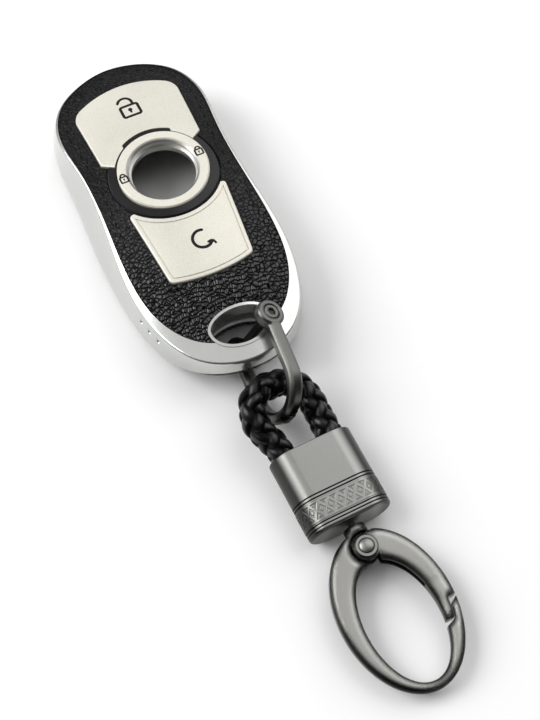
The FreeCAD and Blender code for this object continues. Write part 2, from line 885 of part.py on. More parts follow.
def oval_prism(half, tall, u, v, thick):
    """Upright ellipse prism about the hook's middle plane."""
    centre = Vector(u, -v, -thick / 2)
    oval = Part.Ellipse(centre + Vector(0, tall, 0), centre + Vector(half, 0, 0), centre)
    return Part.Face(Part.Wire(oval.toShape())).extrude(Vector(0, 0, thick))


def hook_wedge():
    """Slab about the hook's middle plane, as thick as the head at the rivet and thinner towards the far end."""
    near = hook_thick / 2 + hook_taper * rivet_v
    far_v = oval_v + 2 * oval_tall
    far = near - hook_taper * far_v
    start = -REACH / 2
    outline = [Vector(start, 0, near), Vector(start, -far_v, far), Vector(start, -far_v, -far),
               Vector(start, 0, -near), Vector(start, 0, near)]
    return Part.Face(Part.makePolygon(outline)).extrude(Vector(REACH, 0, 0))


def hook_ring():
    """Closed oval of the hook, rounded outside and inside, thinner towards its far end."""
    outer = oval_prism(oval_half, oval_tall, oval_u, oval_v, 2 * hook_thick).common(hook_wedge())
    outer = outer.makeFillet(hook_round, [edge for edge in outer.Edges if edge.Closed])
    ring = outer.cut(oval_prism(eye_half, eye_tall, eye_u, eye_v, 2 * hook_thick))
    mouth_edges = [
        edge for edge in ring.Edges if edge.Closed and abs(edge.BoundBox.XLength - 2 * eye_half) < 0.05
    ]
    return ring.makeFillet(hook_inner_round, mouth_edges)


def rivet_seats():
    """Room above and below the hook where the rivet's heads lie flat."""
    return both_sides(about_rivet(rivet_head_r + rivet_seat_gap), hook_thick / 2)


def inside_oval(inset):
    return oval_prism(oval_half - inset, oval_tall - inset, oval_u, oval_v, REACH)


def oval_edge_u(inset, v):
    """Right-hand edge of the hook's oval, drawn in by inset, at v."""
    share = math.sqrt(1 - ((v - oval_v) / (oval_tall - inset)) ** 2)
    return oval_u + (oval_half - inset) * share


def gate_sweep(inset, v):
    """Reach from the rivet that clears the gate's corner at v while it swings."""
    return math.hypot(oval_edge_u(inset, v), v - rivet_v) + latch_gap


def hook_block(u0, u1, v0, v1, half_thick=REACH / 2):
    return block(u0, u1, -v1, -v0, -half_thick, half_thick)


def about_rivet(radius, half_thick=REACH / 2):
    return disc(radius, -half_thick, half_thick, 0.0, -rivet_v)


def both_sides(shape, half_thick):
    """Shape without its middle layer."""
    return shape.cut(block(-REACH, REACH, -REACH, REACH, -half_thick, half_thick))


def middle_layer(shape, half_thick):
    return shape.common(block(-REACH, REACH, -REACH, REACH, -half_thick, half_thick))


def hook_body():
    """Fixed side of the hook: collar, head with a middle tongue, long arm and nose."""
    ring = hook_ring()
    recess = knuckle_r + knuckle_gap
    arm = ring.common(hook_block(-REACH, -latch_gap, 0, REACH))
    foot = ring.common(hook_block(-latch_gap, REACH, gate_lap_v + latch_gap, REACH))
    foot = foot.cut(about_rivet(gate_sweep(nose_thick + latch_gap, gate_lap_v)).common(inside_oval(nose_thick)))
    nose = ring.cut(inside_oval(nose_thick)).common(
        hook_block(0, REACH, gate_end_v + latch_gap, gate_lap_v + 2 * latch_gap))
    nose = nose.cut(about_rivet(gate_sweep(0, gate_end_v)))
    collar_end = collar_from() + collar_tall
    collar = along_chain(collar_r, collar_from(), collar_end)
    collar = collar.makeFillet(collar_round, [max(collar.Edges, key=lambda edge: edge.CenterOfMass.y)])
    head = hook_block(-collar_r, knuckle_r - gate_root_u, collar_end - collar_sunk, rivet_v).common(hook_wedge())
    body = arm.multiFuse([foot, nose, collar, head])
    body = body.cut(both_sides(about_rivet(recess), tongue_plate / 2))
    swing = both_sides(hook_block(-latch_gap, recess, rivet_v, rivet_v + recess), tongue_plate / 2)
    body = body.cut(swing)
    tongue = about_rivet(knuckle_r - latch_gap).fuse(
        hook_block(-recess - 1, 0, rivet_v - knuckle_r, rivet_v + knuckle_r - latch_gap))
    tongue = middle_layer(tongue, tongue_plate / 2)
    body = body.cut(middle_layer(hook_block(-latch_gap, recess, rivet_v, rivet_v + recess), tongue_plate / 2))
    body = body.fuse(tongue)
    body = body.cut(about_rivet(rivet_r + rivet_press)).cut(rivet_seats())
    return body.cut(along_chain(stud_r, 0, collar_from() + stud_grip)).removeSplitter()


def hook_gate():
    """Sprung gate: a channel open to the inside, its end lapped behind the nose."""
    ring = hook_ring()
    root_v = rivet_v - knuckle_r
    arm = ring.common(hook_block(gate_root_u, REACH, root_v, gate_end_v))
    arm = arm.fuse(ring.common(hook_block(collar_r + knuckle_gap, REACH, 0, root_v)))
    lap = ring.common(inside_oval(nose_thick + latch_gap)).common(
        hook_block(0, REACH, gate_end_v, gate_lap_v))
    gate = arm.fuse(lap).fuse(about_rivet(knuckle_r).common(hook_wedge()))
    slot_half_thick = tongue_plate / 2 + cheek_gap
    channel = inside_oval(gate_web).common(hook_block(0, REACH, 0, gate_channel_v))
    channel = channel.fuse(about_rivet(knuckle_r + latch_gap))
    gate = gate.cut(middle_layer(channel, slot_half_thick))
    return gate.cut(about_rivet(rivet_r + rivet_play)).cut(rivet_seats()).removeSplitter()


def gate_rivet():
    """Rivet with a flat head and a domed middle on each face of the hook."""
    face = hook_thick / 2 + rivet_play
    top = face + rivet_head_tall
    sphere_r = (rivet_dome_r ** 2 + rivet_dome_tall ** 2) / (2 * rivet_dome_tall)
    shank = about_rivet(rivet_r, face + rivet_head_tall / 2)
    pieces = []
    for side in (-1, 1):
        head = disc(rivet_head_r, face, top, 0, -rivet_v)
        head = head.makeChamfer(rivet_head_tall / 2, [max(head.Edges, key=lambda edge: edge.CenterOfMass.z)])
        ball = Part.makeSphere(sphere_r, Vector(0, -rivet_v, top + rivet_dome_tall - sphere_r))
        head = head.fuse(ball.common(disc(rivet_dome_r, top - rivet_head_tall / 2, top + 1, 0, -rivet_v)))
        if side < 0:
            head = head.mirror(Vector(0, 0, 0), Vector(0, 0, 1))
        pieces.append(head)
    return shank.multiFuse(pieces).removeSplitter()


def gate_spring():
    """Bowed leaf between the tongue and the gate's web."""
    turn = math.radians(spring_foot_angle)
    foot_r = knuckle_r - latch_gap + rivet_press + spring_thick / 2
    foot = Vector(foot_r * math.cos(turn), -rivet_v - foot_r * math.sin(turn), 0)
    tip = Vector(oval_edge_u(gate_web, spring_tip_v) - spring_gap - spring_thick, -spring_tip_v, 0)
    across = (tip - foot).cross(Vector(0, 0, 1)).normalize()
    crest = (foot + tip) * 0.5 - across * spring_bow
    inner = Part.Arc(foot - across * (spring_thick / 2), crest - across * (spring_thick / 2),
                     tip - across * (spring_thick / 2))
    outer = Part.Arc(foot + across * (spring_thick / 2), crest + across * (spring_thick / 2),
                     tip + across * (spring_thick / 2))
    edges = [
        inner.toShape(),
        Part.LineSegment(tip - across * (spring_thick / 2), tip + across * (spring_thick / 2)).toShape(),
        outer.toShape(),
        Part.LineSegment(foot + across * (spring_thick / 2), foot - across * (spring_thick / 2)).toShape(),
    ]
    face = Part.Face(Part.Wire(Part.__sortEdges__(edges)))
    face.translate(Vector(0, 0, -spring_wide / 2))
    return face.extrude(Vector(0, 0, spring_wide))


def placed(shape, placement):
    moved = shape.copy()
    moved.Placement = placement.multiply(moved.Placement)
    return moved


def build():
    form = case_form()
    shackle = shackle_place()
    chain = chain_place()
    nodes = {
        "front_shell": front_shell(form),
        "front_leather": front_leather(),
        "ring_bezel": ring_bezel(),
        "unlock_button": unlock_button(),
        "lock_ring": lock_ring(),
        "start_button": start_button(),
        "button_retainer": button_retainer(),
        "back_cover": back_cover(form),
        "back_leather": back_leather(),
        "shackle_bow": placed(shackle_bow(), shackle),
        "shackle_screw": placed(shackle_screw(), shackle),
        "braided_cord": placed(braided_cord(), chain),
        "cord_sleeve": placed(cord_sleeve(), chain),
        "swivel_stud": placed(swivel_stud(), chain),
        "hook_body": placed(hook_body(), chain),
        "hook_gate": placed(hook_gate(), chain),
        "gate_rivet": placed(gate_rivet(), chain),
        "gate_spring": placed(gate_spring(), chain),
    }
    os.makedirs("parts", exist_ok=True)
    for name, shape in nodes.items():
        shape.exportStep(os.path.join("parts", name + ".step"))
        box = shape.BoundBox
        print(name, "solids", len(shape.Solids), "valid", shape.isValid(), "volume", round(shape.Volume, 2),
              "z", round(box.ZMin, 2), round(box.ZMax, 2))


if __name__ == "__main__":
    build()
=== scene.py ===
import math

import bpy
import numpy as np
from mathutils import Matrix, Vector


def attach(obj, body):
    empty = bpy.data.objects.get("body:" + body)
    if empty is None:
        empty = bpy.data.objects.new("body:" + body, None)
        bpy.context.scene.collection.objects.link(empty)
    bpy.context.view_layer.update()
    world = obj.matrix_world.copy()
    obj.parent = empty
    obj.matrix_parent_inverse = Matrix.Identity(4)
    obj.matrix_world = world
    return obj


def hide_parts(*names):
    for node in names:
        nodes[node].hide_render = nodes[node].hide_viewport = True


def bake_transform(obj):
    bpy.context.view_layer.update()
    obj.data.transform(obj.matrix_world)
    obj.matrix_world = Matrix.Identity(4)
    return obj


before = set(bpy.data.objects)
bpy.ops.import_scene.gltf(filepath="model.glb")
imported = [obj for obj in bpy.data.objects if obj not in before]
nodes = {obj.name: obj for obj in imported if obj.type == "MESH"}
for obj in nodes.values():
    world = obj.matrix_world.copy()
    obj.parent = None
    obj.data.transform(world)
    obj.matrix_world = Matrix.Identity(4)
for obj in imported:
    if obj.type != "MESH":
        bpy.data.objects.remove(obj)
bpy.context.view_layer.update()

MM = 0.001

# Camera of the photograph, in the part's frame, in millimetres and degrees
FOCAL_PX = 1500.0
FRAME_TALL_PX = 720.0
SENSOR_MM = 36.0
CAMERA_AT = (-63.5, -195.4, 311.2)
CAMERA_ELEVATION = 62.49
CAMERA_TURN = 25.11
CAMERA_ROLL = 0.24
CAMERA_NEAR = 0.01

# Crown of the cover's front
FACE_Z = 17.0
CROWN_ACROSS_R = 63.0
CROWN_ALONG_R = 240.0
CROWN_APEX_Y = -6.0
PAD_PROUD = 0.5
RING_TOP_Z = 17.6

# Chain frame and the cord's route in it
MOUTH = (2.5, -75.2, 6.05)
CHAIN_SLOPE = 2.95
CHAIN_YAW = 2.2
CORD_ROUTE = (
    (-5.4, -11.0, 0.0),
    (-5.5, 2.4, 0.15),
    (-9.3, 9.2, 2.6),
    (-6.0, 16.6, 4.4),
    (5.9, 16.0, 0.9),
    (5.6, 1.0, 0.0),
    (5.4, -11.0, 0.0),
)

# Sleeve with its engraved band and its double lines
SLEEVE_WIDE = 20.0
SLEEVE_THICK = 9.8
BAND_FROM = 12.75
BAND_TO = 17.55
BAND_LINES = (11.45, 12.2, 17.7, 18.45)
LINE_WIDE = 0.35

# Rivet that the gate turns on
RIVET_V = 26.3
RIVET_DOME_R = 1.65

# Section of a painted stroke and of a round spot, in shares of the half width and of the height
STROKE_SHARES = np.array([-1.0, -0.82, -0.45, 0.0, 0.45, 0.82, 1.0])
STROKE_LIFTS = np.array([0.7, 0.95, 1.0, 0.95, 0.7])
STROKE_SUNK = 0.04
CAP_NARROWEST = 0.02
SPOT_SHARES = np.array([1.0, 0.9, 0.6, 0.02])
SPOT_LIFTS = np.array([0.8, 1.0, 1.0])
SPOT_POINTS = 32
SPLINE_SAMPLES = 12
CURVE_SAMPLES = 24


# Shape helpers

def crown_z(x, y, rise=0.0):
    """Height of the crown: an arc across X, turned about a far axis that makes a flatter arc along Y."""
    across = np.sqrt((CROWN_ACROSS_R + rise) ** 2 - x ** 2) - CROWN_ACROSS_R
    reach = CROWN_ALONG_R + across
    return FACE_Z - CROWN_ALONG_R + np.sqrt(reach ** 2 - (y - CROWN_APEX_Y) ** 2)


def chain_matrix():
    """Turn of the chain frame: its slope about X, then its yaw about Z."""
    yaw = Matrix.Rotation(math.radians(CHAIN_YAW), 3, "Z")
    slope = Matrix.Rotation(math.radians(CHAIN_SLOPE), 3, "X")
    return np.array(yaw @ slope)


def from_chain(points):
    """Points of the chain frame, in millimetres, carried into the part's frame."""
    return np.asarray(points, float) @ chain_matrix().T + np.array(MOUTH)


def run_along(line):
    """Way run along a line at each of its points."""
    steps = np.linalg.norm(np.diff(line, axis=0), axis=1)
    return np.concatenate([[0], np.cumsum(steps)])


def points_at(line, run, at):
    """Points of a line where the way run along it has the given values."""
    return np.stack([np.interp(at, run, column) for column in line.T], 1)


def closed_loop(line):
    """The line with its first point repeated at its end."""
    return np.vstack([line, line[:1]])


def unit(vectors):
    """Each row scaled to unit length."""
    return vectors / np.linalg.norm(vectors, axis=1)[:, None]


def signed_power(values, power):
    """Power of each size with its sign kept, which squares a round section off or thins its edges."""
    return np.sign(values) * np.abs(values) ** power


def full_turn(count):
    """Angles once round in even steps."""
    return np.linspace(0, 2 * np.pi, count, endpoint=False)


def grid_faces(rows, columns, close_rows=False, close_columns=False):
    """Quads between neighbours on a grid of rows by columns, with either way closed on itself."""
    i = np.arange(rows if close_rows else rows - 1)
    j = np.arange(columns if close_columns else columns - 1)
    i, j = (axis.ravel() for axis in np.meshgrid(i, j, indexing="ij"))
    i2 = (i + 1) % rows
    j2 = (j + 1) % columns
    return np.stack([i * columns + j, i2 * columns + j, i2 * columns + j2, i * columns + j2], 1)


def new_piece(name, parts, material, body):
    """Smooth mesh piece from a list of vertex and quad arrays in millimetres. It rides on a body if one is
    named."""
    offset = 0
    all_points = []
    all_faces = []
    for points, faces in parts:
        points = np.asarray(points, float).reshape(-1, 3)
        all_points.append(points)
        all_faces.append(np.asarray(faces) + offset)
        offset += len(points)
    points = np.vstack(all_points) * MM
    faces = np.vstack(all_faces)
    mesh = bpy.data.meshes.new(name)
    mesh.from_pydata(points.tolist(), [], faces.tolist())
    mesh.polygons.foreach_set("use_smooth", np.full(len(faces), True))
    mesh.update()
    piece = bpy.data.objects.new(name, mesh)
    bpy.context.scene.collection.objects.link(piece)
    piece.data.materials.append(material)
    if body:
        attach(piece, body)
    return piece


def closed_spline(points, count):
    """Smooth closed curve through points: a periodic cubic spline on chord lengths, sampled evenly."""
    n = len(points)
    chord = np.roll(points, -1, 0) - points
    step = np.linalg.norm(chord, axis=1)
    before = np.roll(step, 1)
    slope = chord / step[:, None]
    here = np.arange(n)
    system = np.zeros((n, n))
    system[here, here - 1] = before / 6
    system[here, here] = (before + step) / 3
    system[here, (here + 1) % n] = step / 6
    bend = np.linalg.solve(system, slope - np.roll(slope, 1, 0))
    at = np.concatenate([[0], np.cumsum(step)])
    t = np.linspace(0, at[-1], SPLINE_SAMPLES * n, endpoint=False)
    k = np.clip(np.searchsorted(at, t, side="right") - 1, 0, n - 1)
    k2 = (k + 1) % n
    h = step[k][:, None]
    a = (at[k + 1] - t)[:, None] / h
    b = 1 - a
    curve = a * points[k] + b * points[k2]
    curve += ((a ** 3 - a) * bend[k] + (b ** 3 - b) * bend[k2]) * h ** 2 / 6
    loop = closed_loop(curve)
    run = run_along(loop)
    return points_at(loop, run, np.linspace(0, run[-1], count, endpoint=False))


def open_path(points, count):
    """Smooth open curve through points: cubics whose slope at a point follows its two neighbours, sampled
    evenly."""
    ends = np.vstack([2 * points[0] - points[1], points, 2 * points[-1] - points[-2]])
    t = np.linspace(0, 1, CURVE_SAMPLES)[:, None]
    runs = []
    for p0, p1, p2, p3 in zip(ends, ends[1:], ends[2:], ends[3:]):
        runs.append(0.5 * (2 * p1 + (p2 - p0) * t + (2 * p0 - 5 * p1 + 4 * p2 - p3) * t ** 2
                           + (3 * p1 - p0 - 3 * p2 + p3) * t ** 3))
    curve = np.vstack(runs)
    run = run_along(curve)
    return points_at(curve, run, np.linspace(0, run[-1], count))


def stroke(path, half, height, surface, closed=False):
    """Ribbon along a flat path, laid on a surface: its section is a low dome of the given height, its edges
    are sunk a little into the surface, and open ends narrow to round caps."""
    if closed:
        along = unit(np.roll(path, -1, 0) - np.roll(path, 1, 0))
        width = np.full(len(path), half)
    else:
        along = unit(np.gradient(path, axis=0))
        run = run_along(path)
        near = np.minimum(run, run[-1] - run)
        cap = 1 - (1 - np.clip(near / half, 0, 1)) ** 2
        width = half * np.sqrt(np.clip(cap, CAP_NARROWEST, 1))
    side = np.stack([-along[:, 1], along[:, 0]], 1)
    lifts = np.concatenate([[-STROKE_SUNK], height * STROKE_LIFTS, [-STROKE_SUNK]])
    flat = path[:, None, :] + side[:, None, :] * (width[:, None] * STROKE_SHARES)[:, :, None]
    z = surface(flat[..., 0], flat[..., 1]) + lifts
    return np.dstack([flat, z]), grid_faces(len(path), len(STROKE_SHARES), close_rows=closed)


def disc_dome(centre, radius, height, surface):
    """Round spot on a surface, as rings about its centre that rise to a flat top."""
    turn = full_turn(SPOT_POINTS)
    lifts = np.concatenate([[-STROKE_SUNK], height * SPOT_LIFTS])
    x = centre[0] + radius * SPOT_SHARES[:, None] * np.cos(turn)
    y = centre[1] + radius * SPOT_SHARES[:, None] * np.sin(turn)
    z = surface(x, y) + lifts[:, None]
    return np.dstack([x, y, z]), grid_faces(len(SPOT_SHARES), len(turn), close_columns=True)


def rounded_box(centre, wide, tall, radius, count=96):
    """Closed path round a rectangle with rounded corners, at even steps."""
    turn = full_turn(count) + np.pi / count
    x = centre[0] + np.sign(np.cos(turn)) * (wide / 2 - radius) + radius * np.cos(turn)
    y = centre[1] + np.sign(np.sin(turn)) * (tall / 2 - radius) + radius * np.sin(turn)
    loop = closed_loop(np.stack([x, y], 1))
    run = run_along(loop)
    return points_at(loop, run, np.linspace(0, run[-1], count, endpoint=False))


def arc_path(centre, radius, start, end, count=48):
    """Points along a flat arc between two angles in degrees."""
    turn = np.radians(np.linspace(start, end, count))
    return np.stack([centre[0] + radius * np.cos(turn), centre[1] + radius * np.sin(turn)], 1)


# Shader helpers

SMOOTH = "SMOOTHSTEP"
NOISE_LOW = 0.3
NOISE_HIGH = 0.7


def grey(value):
    """Colour with three like parts."""
    return (value, value, value)


def scaled(colour, share):
    """Colour made lighter or darker by a share."""
    return tuple(part * share for part in colour)


def feed(tree, socket, value):
    """Link an output to a socket, or set the socket to a plain value."""
    if isinstance(value, bpy.types.NodeSocket):
        tree.links.new(value, socket)
    else:
        socket.default_value = value


def add(tree, kind, inputs=None, **settings):
    """New shader node with its settings, then its inputs by name or number."""
    node = tree.nodes.new(kind)
    for key, value in settings.items():
        setattr(node, key, value)
    for key, value in (inputs or {}).items():
        feed(tree, node.inputs[key], value)
    return node


def shader(name, colour, rough, metal=0.0):
    """New material with its tree and its shader."""
    material = bpy.data.materials.new(name)
    material.use_nodes = True
    bsdf = material.node_tree.nodes["Principled BSDF"]
    bsdf.inputs["Base Color"].default_value = (*colour, 1.0)
    bsdf.inputs["Roughness"].default_value = rough
    bsdf.inputs["Metallic"].default_value = metal
    return material, material.node_tree, bsdf


def object_coordinates(tree):
    """Place on the object in its own frame, in metres."""
    return add(tree, "ShaderNodeTexCoord").outputs["Object"]


def noise(tree, place, scale, detail=2.0, rough=0.5, output="Fac"):
    """Cloudy noise, mostly between NOISE_LOW and NOISE_HIGH."""
    inputs = {"Vector": place, "Scale": scale, "Detail": detail, "Roughness": rough}
    return add(tree, "ShaderNodeTexNoise", inputs).outputs[output]


def ramp(tree, value, stops):
    """Colour by a value, between stops of place and colour."""
    node = add(tree, "ShaderNodeValToRGB", {"Fac": value})
    band = node.color_ramp
    for element, (place, colour) in zip(band.elements, (stops[0], stops[-1])):
        element.position = place
        element.color = (*colour, 1.0)
    for place, colour in stops[1:-1]:
        band.elements.new(place).color = (*colour, 1.0)
    return node.outputs["Color"]


def span(tree, value, low, high, to_low, to_high, interpolation="LINEAR"):
    """Value carried from one range to another and held at its ends."""
    inputs = {"Value": value, "From Min": low, "From Max": high, "To Min": to_low, "To Max": to_high}
    return add(tree, "ShaderNodeMapRange", inputs, interpolation_type=interpolation).outputs["Result"]


def maths(tree, operation, first, second=0.0):
    """One step of arithmetic on values."""
    return add(tree, "ShaderNodeMath", {0: first, 1: second}, operation=operation).outputs["Value"]


def along_axis(tree, vector, axis):
    """Dot product of a vector and a fixed axis."""
    inputs = {0: vector, 1: tuple(axis)}
    return add(tree, "ShaderNodeVectorMath", inputs, operation="DOT_PRODUCT").outputs["Value"]


def axis_value(tree, vector, axis):
    """One part of a vector, by name or number."""
    return add(tree, "ShaderNodeSeparateXYZ", {"Vector": vector}).outputs[axis]


def mix_values(tree, share, first, second):
    """First value at share nought, second at share one."""
    return add(tree, "ShaderNodeMix", {0: share, 2: first, 3: second}, data_type="FLOAT").outputs[0]


def mix_colours(tree, share, first, second, blend="MIX"):
    """First colour at share nought, and at share one the second, or both multiplied."""
    inputs = {0: share, 6: first, 7: second}
    return add(tree, "ShaderNodeMix", inputs, data_type="RGBA", blend_type=blend).outputs[2]


def weighed(tree, first, second, share):
    """Sum of two values, the first with the given share and the second with the rest."""
    kept = maths(tree, "MULTIPLY", first, share)
    rest = maths(tree, "MULTIPLY", second, 1 - share)
    return maths(tree, "ADD", kept, rest)


def bump(tree, bsdf, height, strength, distance):
    """Relief of the surface from a height."""
    node = add(tree, "ShaderNodeBump", {"Height": height, "Strength": strength, "Distance": distance})
    feed(tree, bsdf.inputs["Normal"], node.outputs["Normal"])


def rough_by(tree, bsdf, value, low, high):
    """Roughness that follows a noise between two values."""
    feed(tree, bsdf.inputs["Roughness"], span(tree, value, NOISE_LOW, NOISE_HIGH, low, high))


def rounded_normal(tree, radius, samples):
    """Normal of the surface as if its edges were rounded."""
    return add(tree, "ShaderNodeBevel", {"Radius": radius}, samples=samples).outputs["Normal"]


# Leather

LEATHER_BLACK = (0.006, 0.006, 0.007)
# Leather tones from valley to pebble top: painted shade in the valleys
LEATHER_TONES_VALLEY_SHADE = ((0.2, grey(0.002)), (0.55, (0.004, 0.004, 0.0045)), (1.0, (0.006, 0.006, 0.0065)))
LEATHER_WARP_SCALE = 420.0
LEATHER_WARP = 0.00028
PEBBLE_VALLEY = 0.36
PEBBLE_ROUND = 2.0
COARSE_Y = -0.034
FINE_Y = 0.004
FINE_HEIGHT = 0.4
FINE_GLOSS = 0.15
COARSE_GLOSS = 0.55
GLOSS_FROM = 0.15
GLOSS_TO = 0.6
PORE_SCALE = 5200.0
PORE_HEIGHT = 0.08
PATCH_SCALE = 900.0
LEATHER_ROUGH_LOW = 0.2
LEATHER_ROUGH_HIGH = 0.3
PEBBLE_RELIEF = 0.0003


def leather_material(name, coarse, fine, strength):
    """Pebbled black leather: rounded cells between valleys, larger and glossier towards the tail, with
    painted shade darkening the valleys.
    """
    material, tree, bsdf = shader(name, LEATHER_BLACK, LEATHER_ROUGH_HIGH)
    place = object_coordinates(tree)
    warp = noise(tree, place, LEATHER_WARP_SCALE, output="Color")
    shift = add(tree, "ShaderNodeVectorMath", {0: warp, "Scale": LEATHER_WARP}, operation="SCALE")
    moved = add(tree, "ShaderNodeVectorMath", {0: place, 1: shift.outputs["Vector"]}, operation="ADD")
    heights = []
    for scale in (coarse, fine):
        inputs = {"Vector": moved.outputs["Vector"], "Scale": scale}
        cells = add(tree, "ShaderNodeTexVoronoi", inputs, feature="DISTANCE_TO_EDGE")
        slope = span(tree, cells.outputs["Distance"], 0.0, PEBBLE_VALLEY, 1.0, 0.0)
        heights.append(maths(tree, "SUBTRACT", 1.0, maths(tree, "POWER", slope, PEBBLE_ROUND)))
    along = span(tree, axis_value(tree, place, "Y"), COARSE_Y, FINE_Y, 0.0, 1.0)
    pebbles = mix_values(tree, along, heights[0], maths(tree, "MULTIPLY", heights[1], FINE_HEIGHT))
    pores = maths(tree, "MULTIPLY", noise(tree, place, PORE_SCALE), PORE_HEIGHT)
    shine = span(tree, heights[0], GLOSS_FROM, GLOSS_TO, 0.0, COARSE_GLOSS)
    feed(tree, bsdf.inputs["Specular IOR Level"], mix_values(tree, along, shine, FINE_GLOSS))
    # Painted shade: base colour darker down in the valleys between the pebbles
    feed(tree, bsdf.inputs["Base Color"], ramp(tree, heights[0], LEATHER_TONES_VALLEY_SHADE))
    rough_by(tree, bsdf, noise(tree, place, PATCH_SCALE), LEATHER_ROUGH_LOW, LEATHER_ROUGH_HIGH)
    bump(tree, bsdf, maths(tree, "ADD", pebbles, pores), strength, PEBBLE_RELIEF)
    return material


# Metal, with its blasted grain

GRAIN_ROUGH = 0.6
GRAIN_RELIEF = 0.05
GRAIN_DEPTH = 0.00003
BROAD_SCALE = 60.0
BROAD_DETAIL = 3.0
SATIN_GRAIN_SHARE = 0.7
SATIN_LOW = 0.32
SATIN_HIGH = 0.68
SATIN_ROUGH_LOW = 0.9
SATIN_ROUGH_HIGH = 1.12


def satin_metal(name, colour, rough, metal, speck, grain, relief=GRAIN_RELIEF):
    """Satin metal: fine blasted grain, faint uneven tone and specks."""
    material, tree, bsdf = shader(name, colour, rough, metal)
    place = object_coordinates(tree)
    fine = noise(tree, place, grain, rough=GRAIN_ROUGH)
    broad = noise(tree, place, BROAD_SCALE, BROAD_DETAIL)
    tone = weighed(tree, fine, broad, SATIN_GRAIN_SHARE)
    stops = ((SATIN_LOW, scaled(colour, 1 - speck)), (SATIN_HIGH, scaled(colour, 1 + speck)))
    feed(tree, bsdf.inputs["Base Color"], ramp(tree, tone, stops))
    rough_by(tree, bsdf, broad, rough * SATIN_ROUGH_LOW, rough * SATIN_ROUGH_HIGH)
    bump(tree, bsdf, fine, relief, GRAIN_DEPTH)
    return material


RING_LOW = (0.69, 0.665, 0.585)
RING_HIGH = (0.81, 0.785, 0.695)
RING_BORE = (0.62, 0.615, 0.59)
RING_BORE_R = 0.0085
RING_FACE_R = 0.0087
RING_BORE_METAL = 0.9
RING_FACE_METAL = 0.2
RING_BORE_ROUGH = 0.32
RING_FACE_ROUGH = 0.42
RING_GRAIN = 5200.0


def ring_material():
    """Champagne ring whose bore is polished: the tone follows the distance from the ring's axis."""
    material, tree, bsdf = shader("ring_champagne", RING_LOW, rough=0.4, metal=0.45)
    place = object_coordinates(tree)
    flat = add(tree, "ShaderNodeVectorMath", {0: place, 1: (1.0, 1.0, 0.0)}, operation="MULTIPLY")
    reach = add(tree, "ShaderNodeVectorMath", {0: flat.outputs["Vector"]}, operation="LENGTH")
    out = span(tree, reach.outputs["Value"], RING_BORE_R, RING_FACE_R, 0.0, 1.0)
    fine = noise(tree, place, RING_GRAIN, rough=GRAIN_ROUGH)
    satin = ramp(tree, fine, ((SATIN_LOW, RING_LOW), (SATIN_HIGH, RING_HIGH)))
    feed(tree, bsdf.inputs["Base Color"], mix_colours(tree, out, (*RING_BORE, 1.0), satin))
    feed(tree, bsdf.inputs["Metallic"], span(tree, out, 0.0, 1.0, RING_BORE_METAL, RING_FACE_METAL))
    feed(tree, bsdf.inputs["Roughness"], span(tree, out, 0.0, 1.0, RING_BORE_ROUGH, RING_FACE_ROUGH))
    bump(tree, bsdf, fine, GRAIN_RELIEF, GRAIN_DEPTH)
    return material


# Shell, and the pale lining inside the cover: half width, half length, middle and floor
SILVER = (0.6, 0.608, 0.588)
SHELL_METAL = 0.9
SHELL_GRAIN = 4200.0
SHELL_BROAD_SCALE = 55.0
SHELL_GRAIN_SHARE = 0.6
SHELL_LOW = 0.35
SHELL_HIGH = 0.65
SHELL_DARK = 0.94
SHELL_BRIGHT = 1.05
SHELL_ROUGH_LOW = 0.85
SHELL_ROUGH_HIGH = 1.15
LINING_WHITE = (0.86, 0.86, 0.85)
LINING_HALF = 16.3
LINING_TALL = 41.5
LINING_Y = -8.0
LINING_Z = 1.2
LINING_SQUARE = 4.0


def lining_share(tree, place):
    """One inside a rounded oblong within the cover's walls and above its floor, nought outside it."""
    middle = maths(tree, "SUBTRACT", axis_value(tree, place, "Y"), LINING_Y * MM)
    total = 0.0
    for offset, half in ((axis_value(tree, place, "X"), LINING_HALF), (middle, LINING_TALL)):
        share = maths(tree, "DIVIDE", maths(tree, "ABSOLUTE", offset), half * MM)
        total = maths(tree, "ADD", maths(tree, "POWER", share, LINING_SQUARE), total)
    within = maths(tree, "LESS_THAN", total, 1.0)
    above = maths(tree, "GREATER_THAN", axis_value(tree, place, "Z"), LINING_Z * MM)
    return maths(tree, "MULTIPLY", within, above)


def shell_metal(name, rough, lined=False):
    """Silver shell: satin outside, and where it is lined, pale and matt inside the cover."""
    material, tree, bsdf = shader(name, SILVER, rough, SHELL_METAL)
    place = object_coordinates(tree)
    fine = noise(tree, place, SHELL_GRAIN, rough=GRAIN_ROUGH)
    broad = noise(tree, place, SHELL_BROAD_SCALE, BROAD_DETAIL)
    tone = weighed(tree, fine, broad, SHELL_GRAIN_SHARE)
    stops = ((SHELL_LOW, scaled(SILVER, SHELL_DARK)), (SHELL_HIGH, scaled(SILVER, SHELL_BRIGHT)))
    colour = ramp(tree, tone, stops)
    if lined:
        inside = lining_share(tree, place)
        colour = mix_colours(tree, inside, colour, (*LINING_WHITE, 1.0))
        feed(tree, bsdf.inputs["Metallic"], span(tree, inside, 0.0, 1.0, SHELL_METAL, 0.0))
    feed(tree, bsdf.inputs["Base Color"], colour)
    rough_by(tree, bsdf, broad, rough * SHELL_ROUGH_LOW, rough * SHELL_ROUGH_HIGH)
    bump(tree, bsdf, fine, GRAIN_RELIEF, GRAIN_DEPTH)
    return material


# Painted shade on metal, in millimetres of the chain frame, with the share of black at the darkest
PAINTED_SHADE_BLACK = (0.012, 0.012, 0.011)
SLEEVE_END_FROM = 5.6
SLEEVE_END_TO = 8.6
SLEEVE_END_SHADE = 0.86
HOOK_LOW = -0.2
HOOK_HIGH = 1.8
HOOK_LOW_SHADE = 0.88
RIVET_LINE_FROM = 0.08
RIVET_LINE_TO = 0.22
RIVET_LINE_SHADE = 0.9
RIVET_RIM_FROM = 2.3
RIVET_RIM_TO = 2.45
RIVET_RIM_SHADE = 0.8
SLOPE_SAMPLES = 10
EDGE_SAMPLES = 6


